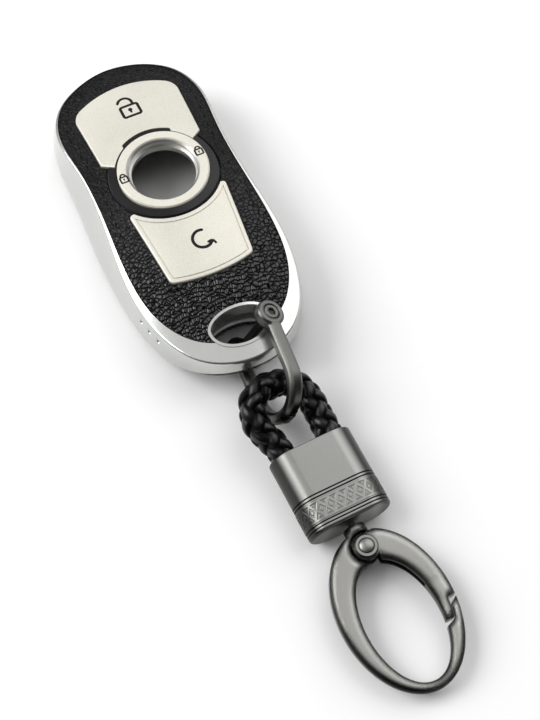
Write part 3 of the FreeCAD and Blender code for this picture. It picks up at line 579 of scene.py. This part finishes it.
def paint_shade(material, share):
    """Painted shade: the base colour falls towards black by a share between nought and one."""
    tree = material.node_tree
    socket = tree.nodes["Principled BSDF"].inputs["Base Color"]
    plain = socket.links[0].from_socket
    feed(tree, socket, mix_colours(tree, share, plain, (*PAINTED_SHADE_BLACK, 1.0)))


def chain_value(tree, column, sign=1.0):
    """Place along one axis of the chain frame, measured from the sleeve's mouth."""
    axis = sign * chain_matrix()[:, column]
    place = along_axis(tree, object_coordinates(tree), axis)
    return maths(tree, "SUBTRACT", place, float(np.dot(MOUTH, axis)) * MM)


def paint_shade_at_ends(material):
    """Painted shade: the sleeve's base colour is darker round its two ends."""
    tree = material.node_tree
    aside = maths(tree, "ABSOLUTE", chain_value(tree, 0))
    share = span(tree, aside, SLEEVE_END_FROM * MM, SLEEVE_END_TO * MM, 0.0, SLEEVE_END_SHADE, SMOOTH)
    paint_shade(material, share)


def paint_shade_down_sides(material):
    """Painted shade: the hook's base colour is darker down its sides than on its upper face."""
    tree = material.node_tree
    above = chain_value(tree, 2)
    paint_shade(material, span(tree, above, HOOK_LOW * MM, HOOK_HIGH * MM, HOOK_LOW_SHADE, 0.0, SMOOTH))


def paint_shade_on_slopes(material, radius, steep, flat, most):
    """Painted shade: metal darker where its rounded surface turns away from the upper face."""
    tree = material.node_tree
    local = add(tree, "ShaderNodeVectorTransform", {"Vector": rounded_normal(tree, radius, SLOPE_SAMPLES)},
                vector_type="NORMAL", convert_from="WORLD", convert_to="OBJECT")
    facing = maths(tree, "ABSOLUTE", along_axis(tree, local.outputs["Vector"], chain_matrix()[:, 2]))
    paint_shade(material, span(tree, facing, steep, flat, most, 0.0, SMOOTH))


def paint_shade_in_lines(material):
    """Painted shade in the bottoms of the double lines round the sleeve, by the way run along the chain from
    its mouth.
    """
    tree = material.node_tree
    run = chain_value(tree, 1, -1.0)
    share = 0.0
    for start in BAND_LINES:
        off = maths(tree, "ABSOLUTE", maths(tree, "SUBTRACT", run, (start + LINE_WIDE / 2) * MM))
        share = maths(tree, "MAXIMUM", maths(tree, "LESS_THAN", off, LINE_WIDE / 2 * MM), share)
    paint_shade(material, share)


def paint_shade_in_rings(material):
    """Painted shade: a dark ring round the rivet's dome and a dark rim round its head, by the distance from
    the rivet's axis.
    """
    tree = material.node_tree
    across = maths(tree, "POWER", chain_value(tree, 0), 2.0)
    along = maths(tree, "POWER", maths(tree, "ADD", chain_value(tree, 1), RIVET_V * MM), 2.0)
    reach = maths(tree, "POWER", maths(tree, "ADD", across, along), 0.5)
    off = maths(tree, "ABSOLUTE", maths(tree, "SUBTRACT", reach, RIVET_DOME_R * MM))
    ring = span(tree, off, RIVET_LINE_FROM * MM, RIVET_LINE_TO * MM, RIVET_LINE_SHADE, 0.0, SMOOTH)
    rim = span(tree, reach, RIVET_RIM_FROM * MM, RIVET_RIM_TO * MM, 0.0, RIVET_RIM_SHADE, SMOOTH)
    paint_shade(material, maths(tree, "MAXIMUM", ring, rim))


def paint_shade_in_grooves(material):
    """Painted shade in the grooves, from the share that the mesh carries at each point."""
    groove = add(material.node_tree, "ShaderNodeAttribute", attribute_name="groove")
    paint_shade(material, groove.outputs["Fac"])


def soften_edges(material, radius):
    """Edges that shade as if they were rounded."""
    tree = material.node_tree
    normal = rounded_normal(tree, radius, EDGE_SAMPLES)
    for node in tree.nodes:
        if node.type == "BUMP":
            feed(tree, node.inputs["Normal"], normal)


# Plastic, cord leather and paint

PLASTIC_BLACK = (0.005, 0.005, 0.0055)
PLASTIC_GRAIN = 2600.0
PLASTIC_GRAIN_DETAIL = 3.0
PLASTIC_PATCH_SCALE = 160.0
PLASTIC_DARK = 0.8
PLASTIC_BRIGHT = 1.25
PLASTIC_ROUGH_LOW = 0.85
PLASTIC_ROUGH_HIGH = 1.15
PLASTIC_GLOSS = 0.3
PLASTIC_RELIEF = 0.06
PLASTIC_DEPTH = 0.00004
CORD_TONES = ((NOISE_LOW, grey(0.0015)), (NOISE_HIGH, grey(0.004)))
CORD_RIBS = {"Scale": 44.0, "Distortion": 2.2, "Detail": 2.0, "Detail Scale": 2.0}
CORD_RIB_HEIGHT = 0.5
CORD_CREASE_SCALE = 1900.0
CORD_CREASE_DETAIL = 3.0
CORD_GLOSS_FROM = 0.1
CORD_GLOSS_TO = 0.75
CORD_MIDDLE_GLOSS = 0.5
CORD_EDGE_GLOSS = 0.04
CORD_ROUGH_LOW = 0.13
CORD_ROUGH_HIGH = 0.24
CORD_RELIEF = 0.2
CORD_DEPTH = 0.0001
PAINT_TONES = ((NOISE_LOW, grey(0.004)), (NOISE_HIGH, grey(0.009)))
PAINT_GRAIN = 3800.0


def plain_plastic(name, colour, rough):
    """Moulded plastic: a fine even texture with faint changes of gloss."""
    material, tree, bsdf = shader(name, colour, rough)
    bsdf.inputs["Specular IOR Level"].default_value = PLASTIC_GLOSS
    place = object_coordinates(tree)
    fine = noise(tree, place, PLASTIC_GRAIN, PLASTIC_GRAIN_DETAIL)
    tones = ((NOISE_LOW, scaled(colour, PLASTIC_DARK)), (NOISE_HIGH, scaled(colour, PLASTIC_BRIGHT)))
    feed(tree, bsdf.inputs["Base Color"], ramp(tree, fine, tones))
    patches = noise(tree, place, PLASTIC_PATCH_SCALE)
    rough_by(tree, bsdf, patches, rough * PLASTIC_ROUGH_LOW, rough * PLASTIC_ROUGH_HIGH)
    bump(tree, bsdf, fine, PLASTIC_RELIEF, PLASTIC_DEPTH)
    return material


def cord_material():
    """Black leather strips, glossy along the middle, with fine ribs across."""
    material, tree, bsdf = shader("cord_leather_strips", grey(0.004), rough=0.25)
    strip = add(tree, "ShaderNodeTexCoord").outputs["UV"]
    inputs = {"Vector": strip, **CORD_RIBS}
    wave = add(tree, "ShaderNodeTexWave", inputs, wave_type="BANDS", bands_direction="X")
    creases = noise(tree, object_coordinates(tree), CORD_CREASE_SCALE, CORD_CREASE_DETAIL)
    ribs = maths(tree, "MULTIPLY", wave.outputs["Fac"], CORD_RIB_HEIGHT)
    aside = maths(tree, "ABSOLUTE", axis_value(tree, strip, "Y"))
    gloss = span(tree, aside, CORD_GLOSS_FROM, CORD_GLOSS_TO, CORD_MIDDLE_GLOSS, CORD_EDGE_GLOSS, SMOOTH)
    feed(tree, bsdf.inputs["Base Color"], ramp(tree, creases, CORD_TONES))
    feed(tree, bsdf.inputs["Specular IOR Level"], gloss)
    rough_by(tree, bsdf, creases, CORD_ROUGH_LOW, CORD_ROUGH_HIGH)
    bump(tree, bsdf, maths(tree, "ADD", ribs, creases), CORD_RELIEF, CORD_DEPTH)
    return material


def dark_paint(name, gloss):
    """Black paint with a faint uneven tone."""
    material, tree, bsdf = shader(name, grey(0.006), rough=0.5)
    bsdf.inputs["Specular IOR Level"].default_value = gloss
    fine = noise(tree, object_coordinates(tree), PAINT_GRAIN)
    feed(tree, bsdf.inputs["Base Color"], ramp(tree, fine, PAINT_TONES))
    return material


# Finish of each node

CHAMPAGNE = (0.72, 0.696, 0.615)
BOW_GREY = (0.15, 0.149, 0.14)
HOOK_GREY = (0.43, 0.427, 0.404)
RIVET_GREY = (0.27, 0.268, 0.252)
SLEEVE_GREY = (0.3, 0.3, 0.285)
SPRING_GREY = (0.4, 0.4, 0.39)

silver = shell_metal("shell_satin_silver", rough=0.19)
lined_silver = shell_metal("shell_lined_silver", rough=0.19, lined=True)
pebbled = leather_material("leather_pebbled", coarse=940.0, fine=1450.0, strength=0.8)
back_pebbled = leather_material("leather_back", coarse=1000.0, fine=1250.0, strength=0.6)
black = plain_plastic("bezel_black", PLASTIC_BLACK, rough=0.26)
champagne = satin_metal("pad_champagne", CHAMPAGNE, rough=0.4, metal=0.3, speck=0.14, grain=4200.0)
ring_satin = ring_material()
gunmetal = satin_metal("gunmetal_satin", BOW_GREY, rough=0.27, metal=1.0, speck=0.06, grain=3600.0)
# Painted shade on the shackle where its surface turns away from the upper face
paint_shade_on_slopes(gunmetal, radius=0.0007, steep=0.0, flat=0.9, most=0.8)
soften_edges(gunmetal, radius=0.0007)
hook_gunmetal = satin_metal("gunmetal_hook", HOOK_GREY, rough=0.17, metal=1.0, speck=0.06, grain=3600.0)
# Painted shade on the hook: darker down its sides and where its surface turns away from the upper face
paint_shade_down_sides(hook_gunmetal)
paint_shade_on_slopes(hook_gunmetal, radius=0.003, steep=0.89, flat=0.998, most=0.97)
soften_edges(hook_gunmetal, radius=0.0024)
rivet_gunmetal = satin_metal("gunmetal_rivet", RIVET_GREY, rough=0.36, metal=1.0, speck=0.06, grain=3600.0)
# Painted shade in a ring round the rivet's dome and at the rim of its head
paint_shade_in_rings(rivet_gunmetal)
sleeve_look = {"rough": 0.32, "metal": 1.0, "speck": 0.07, "grain": 4200.0, "relief": 0.12}
sleeve_satin = satin_metal("sleeve_blasted", SLEEVE_GREY, **sleeve_look)
# Painted shade round the sleeve's two ends
paint_shade_at_ends(sleeve_satin)
# Painted shade in the bottoms of the sleeve's double lines
paint_shade_in_lines(sleeve_satin)
engraved_satin = satin_metal("sleeve_engraved", SLEEVE_GREY, **sleeve_look)
# Painted shade round the engraved band's two ends, as on the sleeve
paint_shade_at_ends(engraved_satin)
# Painted shade in the engraved band's grooves
paint_shade_in_grooves(engraved_satin)
steel = satin_metal("spring_bright", SPRING_GREY, rough=0.25, metal=1.0, speck=0.08, grain=2400.0)
braid = cord_material()
ink = dark_paint("icon_black_paint", gloss=0.2)
mark = dark_paint("stitch_mark_black", gloss=0.03)

finishes = {
    "front_shell": silver,
    "back_cover": lined_silver,
    "front_leather": pebbled,
    "back_leather": back_pebbled,
    "ring_bezel": black,
    "button_retainer": black,
    "unlock_button": champagne,
    "start_button": champagne,
    "lock_ring": ring_satin,
    "shackle_bow": gunmetal,
    "shackle_screw": gunmetal,
    "cord_sleeve": sleeve_satin,
    "swivel_stud": rivet_gunmetal,
    "hook_body": hook_gunmetal,
    "hook_gate": hook_gunmetal,
    "gate_rivet": rivet_gunmetal,
    "gate_spring": steel,
    "braided_cord": braid,
}
for node, finish in finishes.items():
    for material_slot in nodes[node].material_slots:
        material_slot.material = finish


# Camera, floor and light, in metres and watts

FLOOR_HALF = 3.0
FLOOR_DROP = 0.00005
FLOOR_TONES = ((NOISE_LOW, grey(0.96)), (NOISE_HIGH, grey(0.975)))
FLOOR_PATCH_SCALE = 30.0
LIGHTS_AIM = (0.0, -0.05, 0.0)
ROOM_TONES = ((0.0, grey(0.5)), (0.5, grey(0.42)), (0.66, grey(0.3)), (0.82, grey(0.62)), (1.0, grey(0.82)))
ROOM_DARK_Y = -0.55
ROOM_LIGHT_Y = -0.05
ROOM_DARK_SHARE = 0.08


def place_camera():
    """Camera at the photograph's place, looking down at its elevation, with its turn and roll."""
    el, th, roll = (math.radians(a) for a in (CAMERA_ELEVATION, CAMERA_TURN, CAMERA_ROLL))
    ahead = Vector((math.sin(th) * math.cos(el), math.cos(th) * math.cos(el), -math.sin(el)))
    right = Vector((math.cos(th), -math.sin(th), 0.0))
    up = right.cross(ahead)
    level_right = right * math.cos(roll) + up * math.sin(roll)
    level_up = up * math.cos(roll) - right * math.sin(roll)
    data = bpy.data.cameras.new("photo_camera")
    data.sensor_width = SENSOR_MM
    data.lens = FOCAL_PX / FRAME_TALL_PX * SENSOR_MM
    data.clip_start = CAMERA_NEAR
    camera = bpy.data.objects.new("photo_camera", data)
    turn = Matrix((level_right, level_up, -ahead)).transposed()
    camera.matrix_world = Matrix.Translation(Vector(CAMERA_AT) * MM) @ turn.to_4x4()
    bpy.context.scene.collection.objects.link(camera)
    bpy.context.scene.camera = camera


def place_floor():
    """White floor just below the part."""
    material, tree, bsdf = shader("floor_white", grey(0.97), rough=0.85)
    tint = noise(tree, object_coordinates(tree), FLOOR_PATCH_SCALE)
    feed(tree, bsdf.inputs["Base Color"], ramp(tree, tint, FLOOR_TONES))
    corners = [(x * FLOOR_HALF, y * FLOOR_HALF, 0) for x, y in ((-1, -1), (1, -1), (1, 1), (-1, 1))]
    mesh = bpy.data.meshes.new("floor")
    mesh.from_pydata(corners, [], [(0, 1, 2, 3)])
    mesh.materials.append(material)
    floor = bpy.data.objects.new("floor", mesh)
    floor.location.z = -FLOOR_DROP
    bpy.context.scene.collection.objects.link(floor)


def area_light(name, at, side, power):
    """Square light of a given side that faces the part."""
    data = bpy.data.lights.new(name, "AREA")
    data.shape = "RECTANGLE"
    data.size = side
    data.size_y = side
    data.energy = power
    light = bpy.data.objects.new(name, data)
    light.location = at
    light.rotation_euler = (Vector(LIGHTS_AIM) - Vector(at)).to_track_quat("-Z", "Y").to_euler()
    bpy.context.scene.collection.objects.link(light)


def place_world():
    """Grey room, dimmer low down and much dimmer on the photographer's side, so that metal shows dark
    bands."""
    world = bpy.data.worlds.new("soft_room")
    world.use_nodes = True
    tree = world.node_tree
    background = tree.nodes["Background"]
    direction = add(tree, "ShaderNodeTexCoord").outputs["Generated"]
    tone = ramp(tree, span(tree, axis_value(tree, direction, "Z"), -1.0, 1.0, 0.0, 1.0), ROOM_TONES)
    towards = axis_value(tree, direction, "Y")
    near = span(tree, towards, ROOM_DARK_Y, ROOM_LIGHT_Y, ROOM_DARK_SHARE, 1.0, SMOOTH)
    feed(tree, background.inputs["Color"], mix_colours(tree, 1.0, tone, near, "MULTIPLY"))
    background.inputs["Strength"].default_value = 1.0
    bpy.context.scene.world = world


place_camera()
place_floor()
place_world()
area_light("soft_left", at=(-0.55, 0.25, 0.52), side=0.58, power=5.2)
area_light("soft_right", at=(0.52, 0.16, 0.52), side=0.8, power=2.5)
bpy.context.scene.view_settings.view_transform = "Standard"


# Braided cord

ROUTE_STEPS = 48
BRAID_STEPS = 420
BRAID_R = 2.38
BRAID_PITCH = 21.0
STRANDS_EACH_WAY = 4
WEAVE = 0.4
STRIP_POINTS = 14
STRIP_HALF = 1.52
STRIP_THICK = 0.6
STRIP_CURL = 0.4
STRIP_ACROSS_POWER = 0.9
STRIP_LIFT_POWER = 0.8
STRIP_RUN_UNIT = 10
CORE_POINTS = 16
CORE_R = BRAID_R - 0.7


def cord_line():
    """Points of the route's smooth spline, in millimetres in the part's frame."""
    control = from_chain(CORD_ROUTE)
    data = bpy.data.curves.new("cord_route", "CURVE")
    data.dimensions = "3D"
    data.resolution_u = ROUTE_STEPS
    spline = data.splines.new("NURBS")
    spline.points.add(len(control) - 1)
    for point, place in zip(spline.points, control * MM):
        point.co = (*place, 1.0)
    spline.order_u = 3
    spline.use_endpoint_u = True
    carrier = bpy.data.objects.new("cord_route", data)
    mesh = bpy.data.meshes.new_from_object(carrier)
    line = np.zeros(len(mesh.vertices) * 3)
    mesh.vertices.foreach_get("co", line)
    bpy.data.meshes.remove(mesh)
    bpy.data.objects.remove(carrier)
    bpy.data.curves.remove(data)
    return line.reshape(-1, 3) / MM


def carried_frames(line):
    """Two directions across the line, carried along it without twist."""
    ahead = unit(np.gradient(line, axis=0))
    first = np.zeros_like(line)
    across = np.cross(ahead[0], (0.0, 0.0, 1.0))
    first[0] = across / np.linalg.norm(across)
    for k in range(1, len(line)):
        side = first[k - 1] - ahead[k] * (first[k - 1] @ ahead[k])
        first[k] = side / np.linalg.norm(side)
    return first, np.cross(ahead, first)


def strip_coordinates(run, across):
    """Way run along a strip and place across it, for each point of its grid."""
    return np.stack(np.broadcast_arrays(run[:, None] / STRIP_RUN_UNIT, across[None, :]), -1).reshape(-1, 2)


def braid_strands(line):
    """Flat strips wound both ways about the line. A strip's distance from the line swings as a cosine of its
    turn, so that each passes over and under those that run the other way; its section is a lens. A round core
    fills the middle."""
    line_run = run_along(line)
    run = np.linspace(0, line_run[-1], BRAID_STEPS)
    path = points_at(line, line_run, run)
    first, second = carried_frames(path)
    phase = 2 * np.pi * run / BRAID_PITCH
    around = full_turn(STRIP_POINTS)
    across = signed_power(np.cos(around), STRIP_ACROSS_POWER)
    lift = signed_power(np.sin(around), STRIP_LIFT_POWER)
    parts = []
    uvs = []
    for way in (1, -1):
        radius = BRAID_R + way * WEAVE * np.cos(STRANDS_EACH_WAY * phase)
        for strand in range(STRANDS_EACH_WAY):
            angle = way * phase + 2 * np.pi * strand / STRANDS_EACH_WAY
            out = first * np.cos(angle)[:, None] + second * np.sin(angle)[:, None]
            centre = path + out * radius[:, None]
            heading = unit(np.gradient(centre, axis=0))
            wide = unit(np.cross(out, heading))
            normal = np.cross(heading, wide)
            ring = (centre[:, None, :] + wide[:, None, :] * (STRIP_HALF * across)[None, :, None]
                    + normal[:, None, :] * (STRIP_THICK * lift)[None, :, None])
            curl = STRIP_CURL * (across ** 2)[None, :, None] * out[:, None, :]
            parts.append((ring - curl, grid_faces(len(path), len(around), close_columns=True)))
            uvs.append(strip_coordinates(run, across))
    turn = full_turn(CORE_POINTS)
    core = path[:, None, :] + CORE_R * (first[:, None, :] * np.cos(turn)[None, :, None]
                                        + second[:, None, :] * np.sin(turn)[None, :, None])
    parts.append((core, grid_faces(len(path), len(turn), close_columns=True)))
    uvs.append(strip_coordinates(run, turn))
    return parts, np.vstack(uvs), path, run[-1]


def write_uv(piece, values):
    """Coordinates of each corner taken from its vertex."""
    mesh = piece.data
    corner = np.zeros(len(mesh.loops), np.int32)
    mesh.loops.foreach_get("vertex_index", corner)
    layer = mesh.uv_layers.new(name="along_strip")
    layer.data.foreach_set("uv", values[corner].ravel().astype(np.float32))


strand_parts, strand_uv, cord_path, cord_length = braid_strands(cord_line())
cord = new_piece("cord_strands", strand_parts, braid, "loop")
write_uv(cord, strand_uv)
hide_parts("braided_cord")


# Signs on the pads and the ring, with the padlock's sizes in shares of its width, height or line

SIGN_TALL = 0.03
LEG_STEPS = 6
STEM_STEPS = 8
ARROW_STEPS = 96
BARB_STEPS = 12
LOCK_CORNER = 0.1
BOW_R_OPEN = 0.4
BOW_R_SHUT = 0.33
BOW_ASIDE = 0.28
BOW_LIFT = 0.2
BOW_OPEN_TO = 168
BOW_LEG = 0.12
BOW_FOOT = 0.2
KEYHOLE_R = 0.13
KEYHOLE_UP = 0.08
KEYHOLE_DOWN = 0.24
KEYHOLE_STEM = 0.55
KEYHOLE_STEM_TALL = 0.028
ARROW_FROM = 62
ARROW_TO = 332
ARROW_LEAN = 50
ARROW_BARB = 0.62
ARROW_BARB_HALF = 0.38


def on_pad(x, y):
    """Height of the pads' faces."""
    return crown_z(x, y, PAD_PROUD)


def on_ring(x, y):
    """Height of the ring's flat top."""
    return np.full(np.shape(x), RING_TOP_Z)


def padlock(centre, wide, tall, line, surface, open_shackle):
    """Generic padlock: a rounded box, a keyhole and a bow that is shut or swung open."""
    cx, cy = centre
    top = cy + tall / 2
    if open_shackle:
        bow_r = wide * BOW_R_OPEN
        foot = (cx + wide * BOW_ASIDE, top)
        knee = (foot[0], top + wide * BOW_LIFT)
        bow = arc_path((knee[0] - bow_r, knee[1]), bow_r, 0, BOW_OPEN_TO)
        path = np.vstack([np.linspace(foot, knee, LEG_STEPS)[:-1], bow])
    else:
        bow_r = wide * BOW_R_SHUT
        bow = arc_path((cx, top + tall * BOW_LEG), bow_r, 0, 180)
        foot_y = top - line * BOW_FOOT
        path = np.vstack([[(cx + bow_r, foot_y)], bow, [(cx - bow_r, foot_y)]])
    box = rounded_box(centre, wide, tall, wide * LOCK_CORNER)
    hole = (cx, cy + tall * KEYHOLE_UP)
    hole_r = wide * KEYHOLE_R
    stem = np.linspace(hole, (cx, cy - tall * KEYHOLE_DOWN), STEM_STEPS)
    return [
        stroke(box, line / 2, SIGN_TALL, surface, closed=True),
        stroke(path, line / 2, SIGN_TALL, surface),
        disc_dome(hole, hole_r, SIGN_TALL, surface),
        stroke(stem, hole_r * KEYHOLE_STEM, KEYHOLE_STEM_TALL, surface),
    ]


def round_arrow(centre, radius, line, surface):
    """Open round arrow: an arc with a head at its end."""
    arc = arc_path(centre, radius, ARROW_FROM, ARROW_TO, ARROW_STEPS)
    parts = [stroke(arc, line / 2, SIGN_TALL, surface)]
    tip = math.radians(ARROW_TO)
    end = np.array(centre) + radius * np.array([math.cos(tip), math.sin(tip)])
    for lean in (-ARROW_LEAN, ARROW_LEAN):
        turn = math.radians(ARROW_TO + 90 + 180 + lean)
        barb = end + np.array([math.cos(turn), math.sin(turn)]) * radius * ARROW_BARB
        parts.append(stroke(np.linspace(end, barb, BARB_STEPS), line * ARROW_BARB_HALF, SIGN_TALL, surface))
    return parts


unlock_lines = padlock((-0.2, 20.0), wide=4.4, tall=3.5, line=0.8, surface=on_pad, open_shackle=True)
new_piece("unlock_sign", unlock_lines, ink, "unlock")
lock_lines = []
for at in ((-9.6, 0.85), (9.6, 0.85)):
    lock_lines += padlock(at, wide=1.75, tall=1.6, line=0.46, surface=on_ring, open_shackle=False)
new_piece("lock_signs", lock_lines, ink, "ring")
start_lines = round_arrow((0.7, -21.4), radius=2.3, line=0.84, surface=on_pad)
new_piece("start_sign", start_lines, ink, "start")


# Marks along the leather's border, and creases

LEATHER_OUTLINE = (
    (0.0, 35.75), (9.4, 33.7), (15.3, 29.5), (17.95, 23.7), (17.75, 10.0), (17.8, -8.1), (18.3, -23.3),
    (16.4, -34.9), (9.6, -44.4), (0.0, -47.1),
)
OUTLINE_STEPS = 720
MARK_INSET = 2.1
MARK_PITCH = 3.1
MARK_LONG = 1.15
MARK_STEPS = 9
MARK_LAST = 1.5
MARK_LOWEST_Y = -36.0
MARK_HALF = 0.2
MARK_TALL = 0.012
CREASE_PATH = ((17.2, 9.3), (16.0, 6.6), (15.1, 2.9), (13.9, -2.1), (11.9, -7.4))
CREASE_STEPS = 70
CREASE_HALF = 0.34
CREASE_TALL = 0.1


def leather_edge():
    """Closed outline of the leather, the same on both sides."""
    right = np.array(LEATHER_OUTLINE)
    left = right[1:-1][::-1] * (-1, 1)
    return closed_spline(np.vstack([right, left]), OUTLINE_STEPS)


def border_marks():
    """Short pressed marks that follow the leather's edge at an even distance from it."""
    edge = leather_edge()
    along = unit(np.roll(edge, -1, 0) - np.roll(edge, 1, 0))
    inward = np.stack([along[:, 1], -along[:, 0]], 1)
    row = closed_loop(edge + inward * MARK_INSET)
    run = run_along(row)
    parts = []
    for start in np.arange(0, run[-1] - MARK_LAST, MARK_PITCH):
        dash = points_at(row, run, np.linspace(start, start + MARK_LONG, MARK_STEPS))
        if dash[:, 1].min() > MARK_LOWEST_Y:
            parts.append(stroke(dash, MARK_HALF, MARK_TALL, crown_z))
    return parts


def leather_creases():
    """Rolled leather crease from each side of the cover to the bezel."""
    parts = []
    for side in (-1, 1):
        path = open_path(np.array(CREASE_PATH) * (side, 1), CREASE_STEPS)
        parts.append(stroke(path, CREASE_HALF, CREASE_TALL, crown_z))
    return parts


new_piece("border_marks", border_marks(), mark, "case")
new_piece("leather_creases", leather_creases(), pebbled, "case")


# Engraved band on the sleeve

BAND_AROUND = 1500
BAND_ROWS = 96
BAND_PITCH = 2.33
BAND_PROUD = 0.07
BAND_SUNK = 0.04
BAND_BORDER = 0.12
GROOVE_HALF = 0.14
GROOVE_DEEP = 0.09
DIAMOND_HALF = 0.66
DIAMOND_TALL = 0.86
DIAMOND_SLANT = 0.75
TRIANGLE_HALF = 0.55
TRIANGLE_LOW = 0.66
TRIANGLE_TOP = 1.6
TRIANGLE_SLANT = 0.85


def stadium_path(count):
    """Points and outward directions round the sleeve's flat section, at even steps, with the way run: a flat,
    a half turn, the other flat and the other half turn."""
    radius = SLEEVE_THICK / 2
    flat = SLEEVE_WIDE - SLEEVE_THICK
    half_turn = math.pi * radius
    total = 2 * flat + 2 * half_turn
    s = np.linspace(0, total, count, endpoint=False)
    stretch = [s < flat, s < flat + half_turn, s < 2 * flat + half_turn]
    turn = np.select(stretch, [np.full(count, math.pi / 2), math.pi / 2 - (s - flat) / radius,
                               np.full(count, -math.pi / 2)],
                     -math.pi / 2 - (s - 2 * flat - half_turn) / radius)
    middle = np.select(stretch, [s - flat / 2, np.full(count, flat / 2), flat / 2 - (s - flat - half_turn)],
                       -flat / 2)
    out = np.stack([np.cos(turn), np.sin(turn)], 1)
    return middle + radius * out[:, 0], radius * out[:, 1], out, s, total


def sleeve_band():
    """Band round the sleeve, a little proud of it, with a row of diamonds and a triangle above and below each
    gap between them. Grooves follow the outlines: their depth is a bell curve of the distance to the nearest
    one."""
    x, w, out, s, total = stadium_path(BAND_AROUND)
    pitch = total / round(total / BAND_PITCH)
    v = np.linspace(BAND_FROM, BAND_TO, BAND_ROWS)
    up = np.abs(v - (BAND_FROM + BAND_TO) / 2)[None, :]
    to_diamond = np.abs((s / pitch + 0.5) % 1.0 - 0.5)[:, None] * pitch
    to_gap = pitch / 2 - to_diamond
    diamond = (to_diamond / DIAMOND_HALF + up / DIAMOND_TALL - 1) * DIAMOND_HALF * DIAMOND_SLANT
    climb = (up - TRIANGLE_LOW) / (TRIANGLE_TOP - TRIANGLE_LOW)
    slant = (to_gap / TRIANGLE_HALF - climb) * TRIANGLE_HALF * TRIANGLE_SLANT
    triangle = np.maximum(slant, up - TRIANGLE_TOP)
    nearest = np.minimum(np.abs(diamond), np.abs(triangle))
    groove = np.exp(-(nearest / GROOVE_HALF) ** 2)
    border = np.clip(np.minimum(v - v[0], v[-1] - v) / BAND_BORDER, 0, 1)[None, :]
    height = (BAND_PROUD - GROOVE_DEEP * groove) * border - BAND_SUNK * (1 - border)
    points = np.stack([x[:, None] + out[:, 0:1] * height, np.broadcast_to(-v[None, :], height.shape),
                       w[:, None] + out[:, 1:2] * height], -1)
    faces = grid_faces(BAND_AROUND, BAND_ROWS, close_rows=True)
    return from_chain(points.reshape(-1, 3)), faces, (groove * border).ravel()


band_points, band_faces, band_groove = sleeve_band()
band = new_piece("sleeve_band", [(band_points, band_faces)], engraved_satin, "loop")
groove_share = band.data.attributes.new("groove", "FLOAT", "POINT")
groove_share.data.foreach_set("value", band_groove.astype(np.float32))


# Leaf spring in the hook's gate

SPRING_FOOT = (2.04, -28.21)
SPRING_TIP = (10.0, -35.8)
SPRING_BOW = 0.9
SPRING_THICK = 0.35
SPRING_WIDE = 1.5
SPRING_SQUARE = 0.5
SPRING_STEPS = 60
SPRING_POINTS = 20


def leaf_spring():
    """Bowed leaf: an arc from the tongue to the gate's web, whose section is a narrow rounded oblong."""
    foot = np.array(SPRING_FOOT)
    tip = np.array(SPRING_TIP)
    chord = tip - foot
    length = np.linalg.norm(chord)
    radius = (length ** 2 / 4 + SPRING_BOW ** 2) / (2 * SPRING_BOW)
    outward = np.array([-chord[1], chord[0]]) / length
    centre = (foot + tip) / 2 + outward * (SPRING_BOW - radius)
    half_turn = math.asin(length / 2 / radius)
    turn = np.linspace(half_turn, -half_turn, SPRING_STEPS)
    out = outward * np.cos(turn)[:, None] - chord / length * np.sin(turn)[:, None]
    around = full_turn(SPRING_POINTS)
    lift = SPRING_THICK / 2 * signed_power(np.sin(around), SPRING_SQUARE)
    across = SPRING_WIDE / 2 * signed_power(np.cos(around), SPRING_SQUARE)
    flat = centre + out[:, None, :] * (radius + lift)[None, :, None]
    points = np.dstack([flat, np.broadcast_to(across, flat.shape[:2])])
    return from_chain(points.reshape(-1, 3)), grid_faces(len(turn), len(around), close_columns=True)


leaf = new_piece("spring_leaf", [leaf_spring()], steel, None)
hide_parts("gate_spring")
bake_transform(leaf)
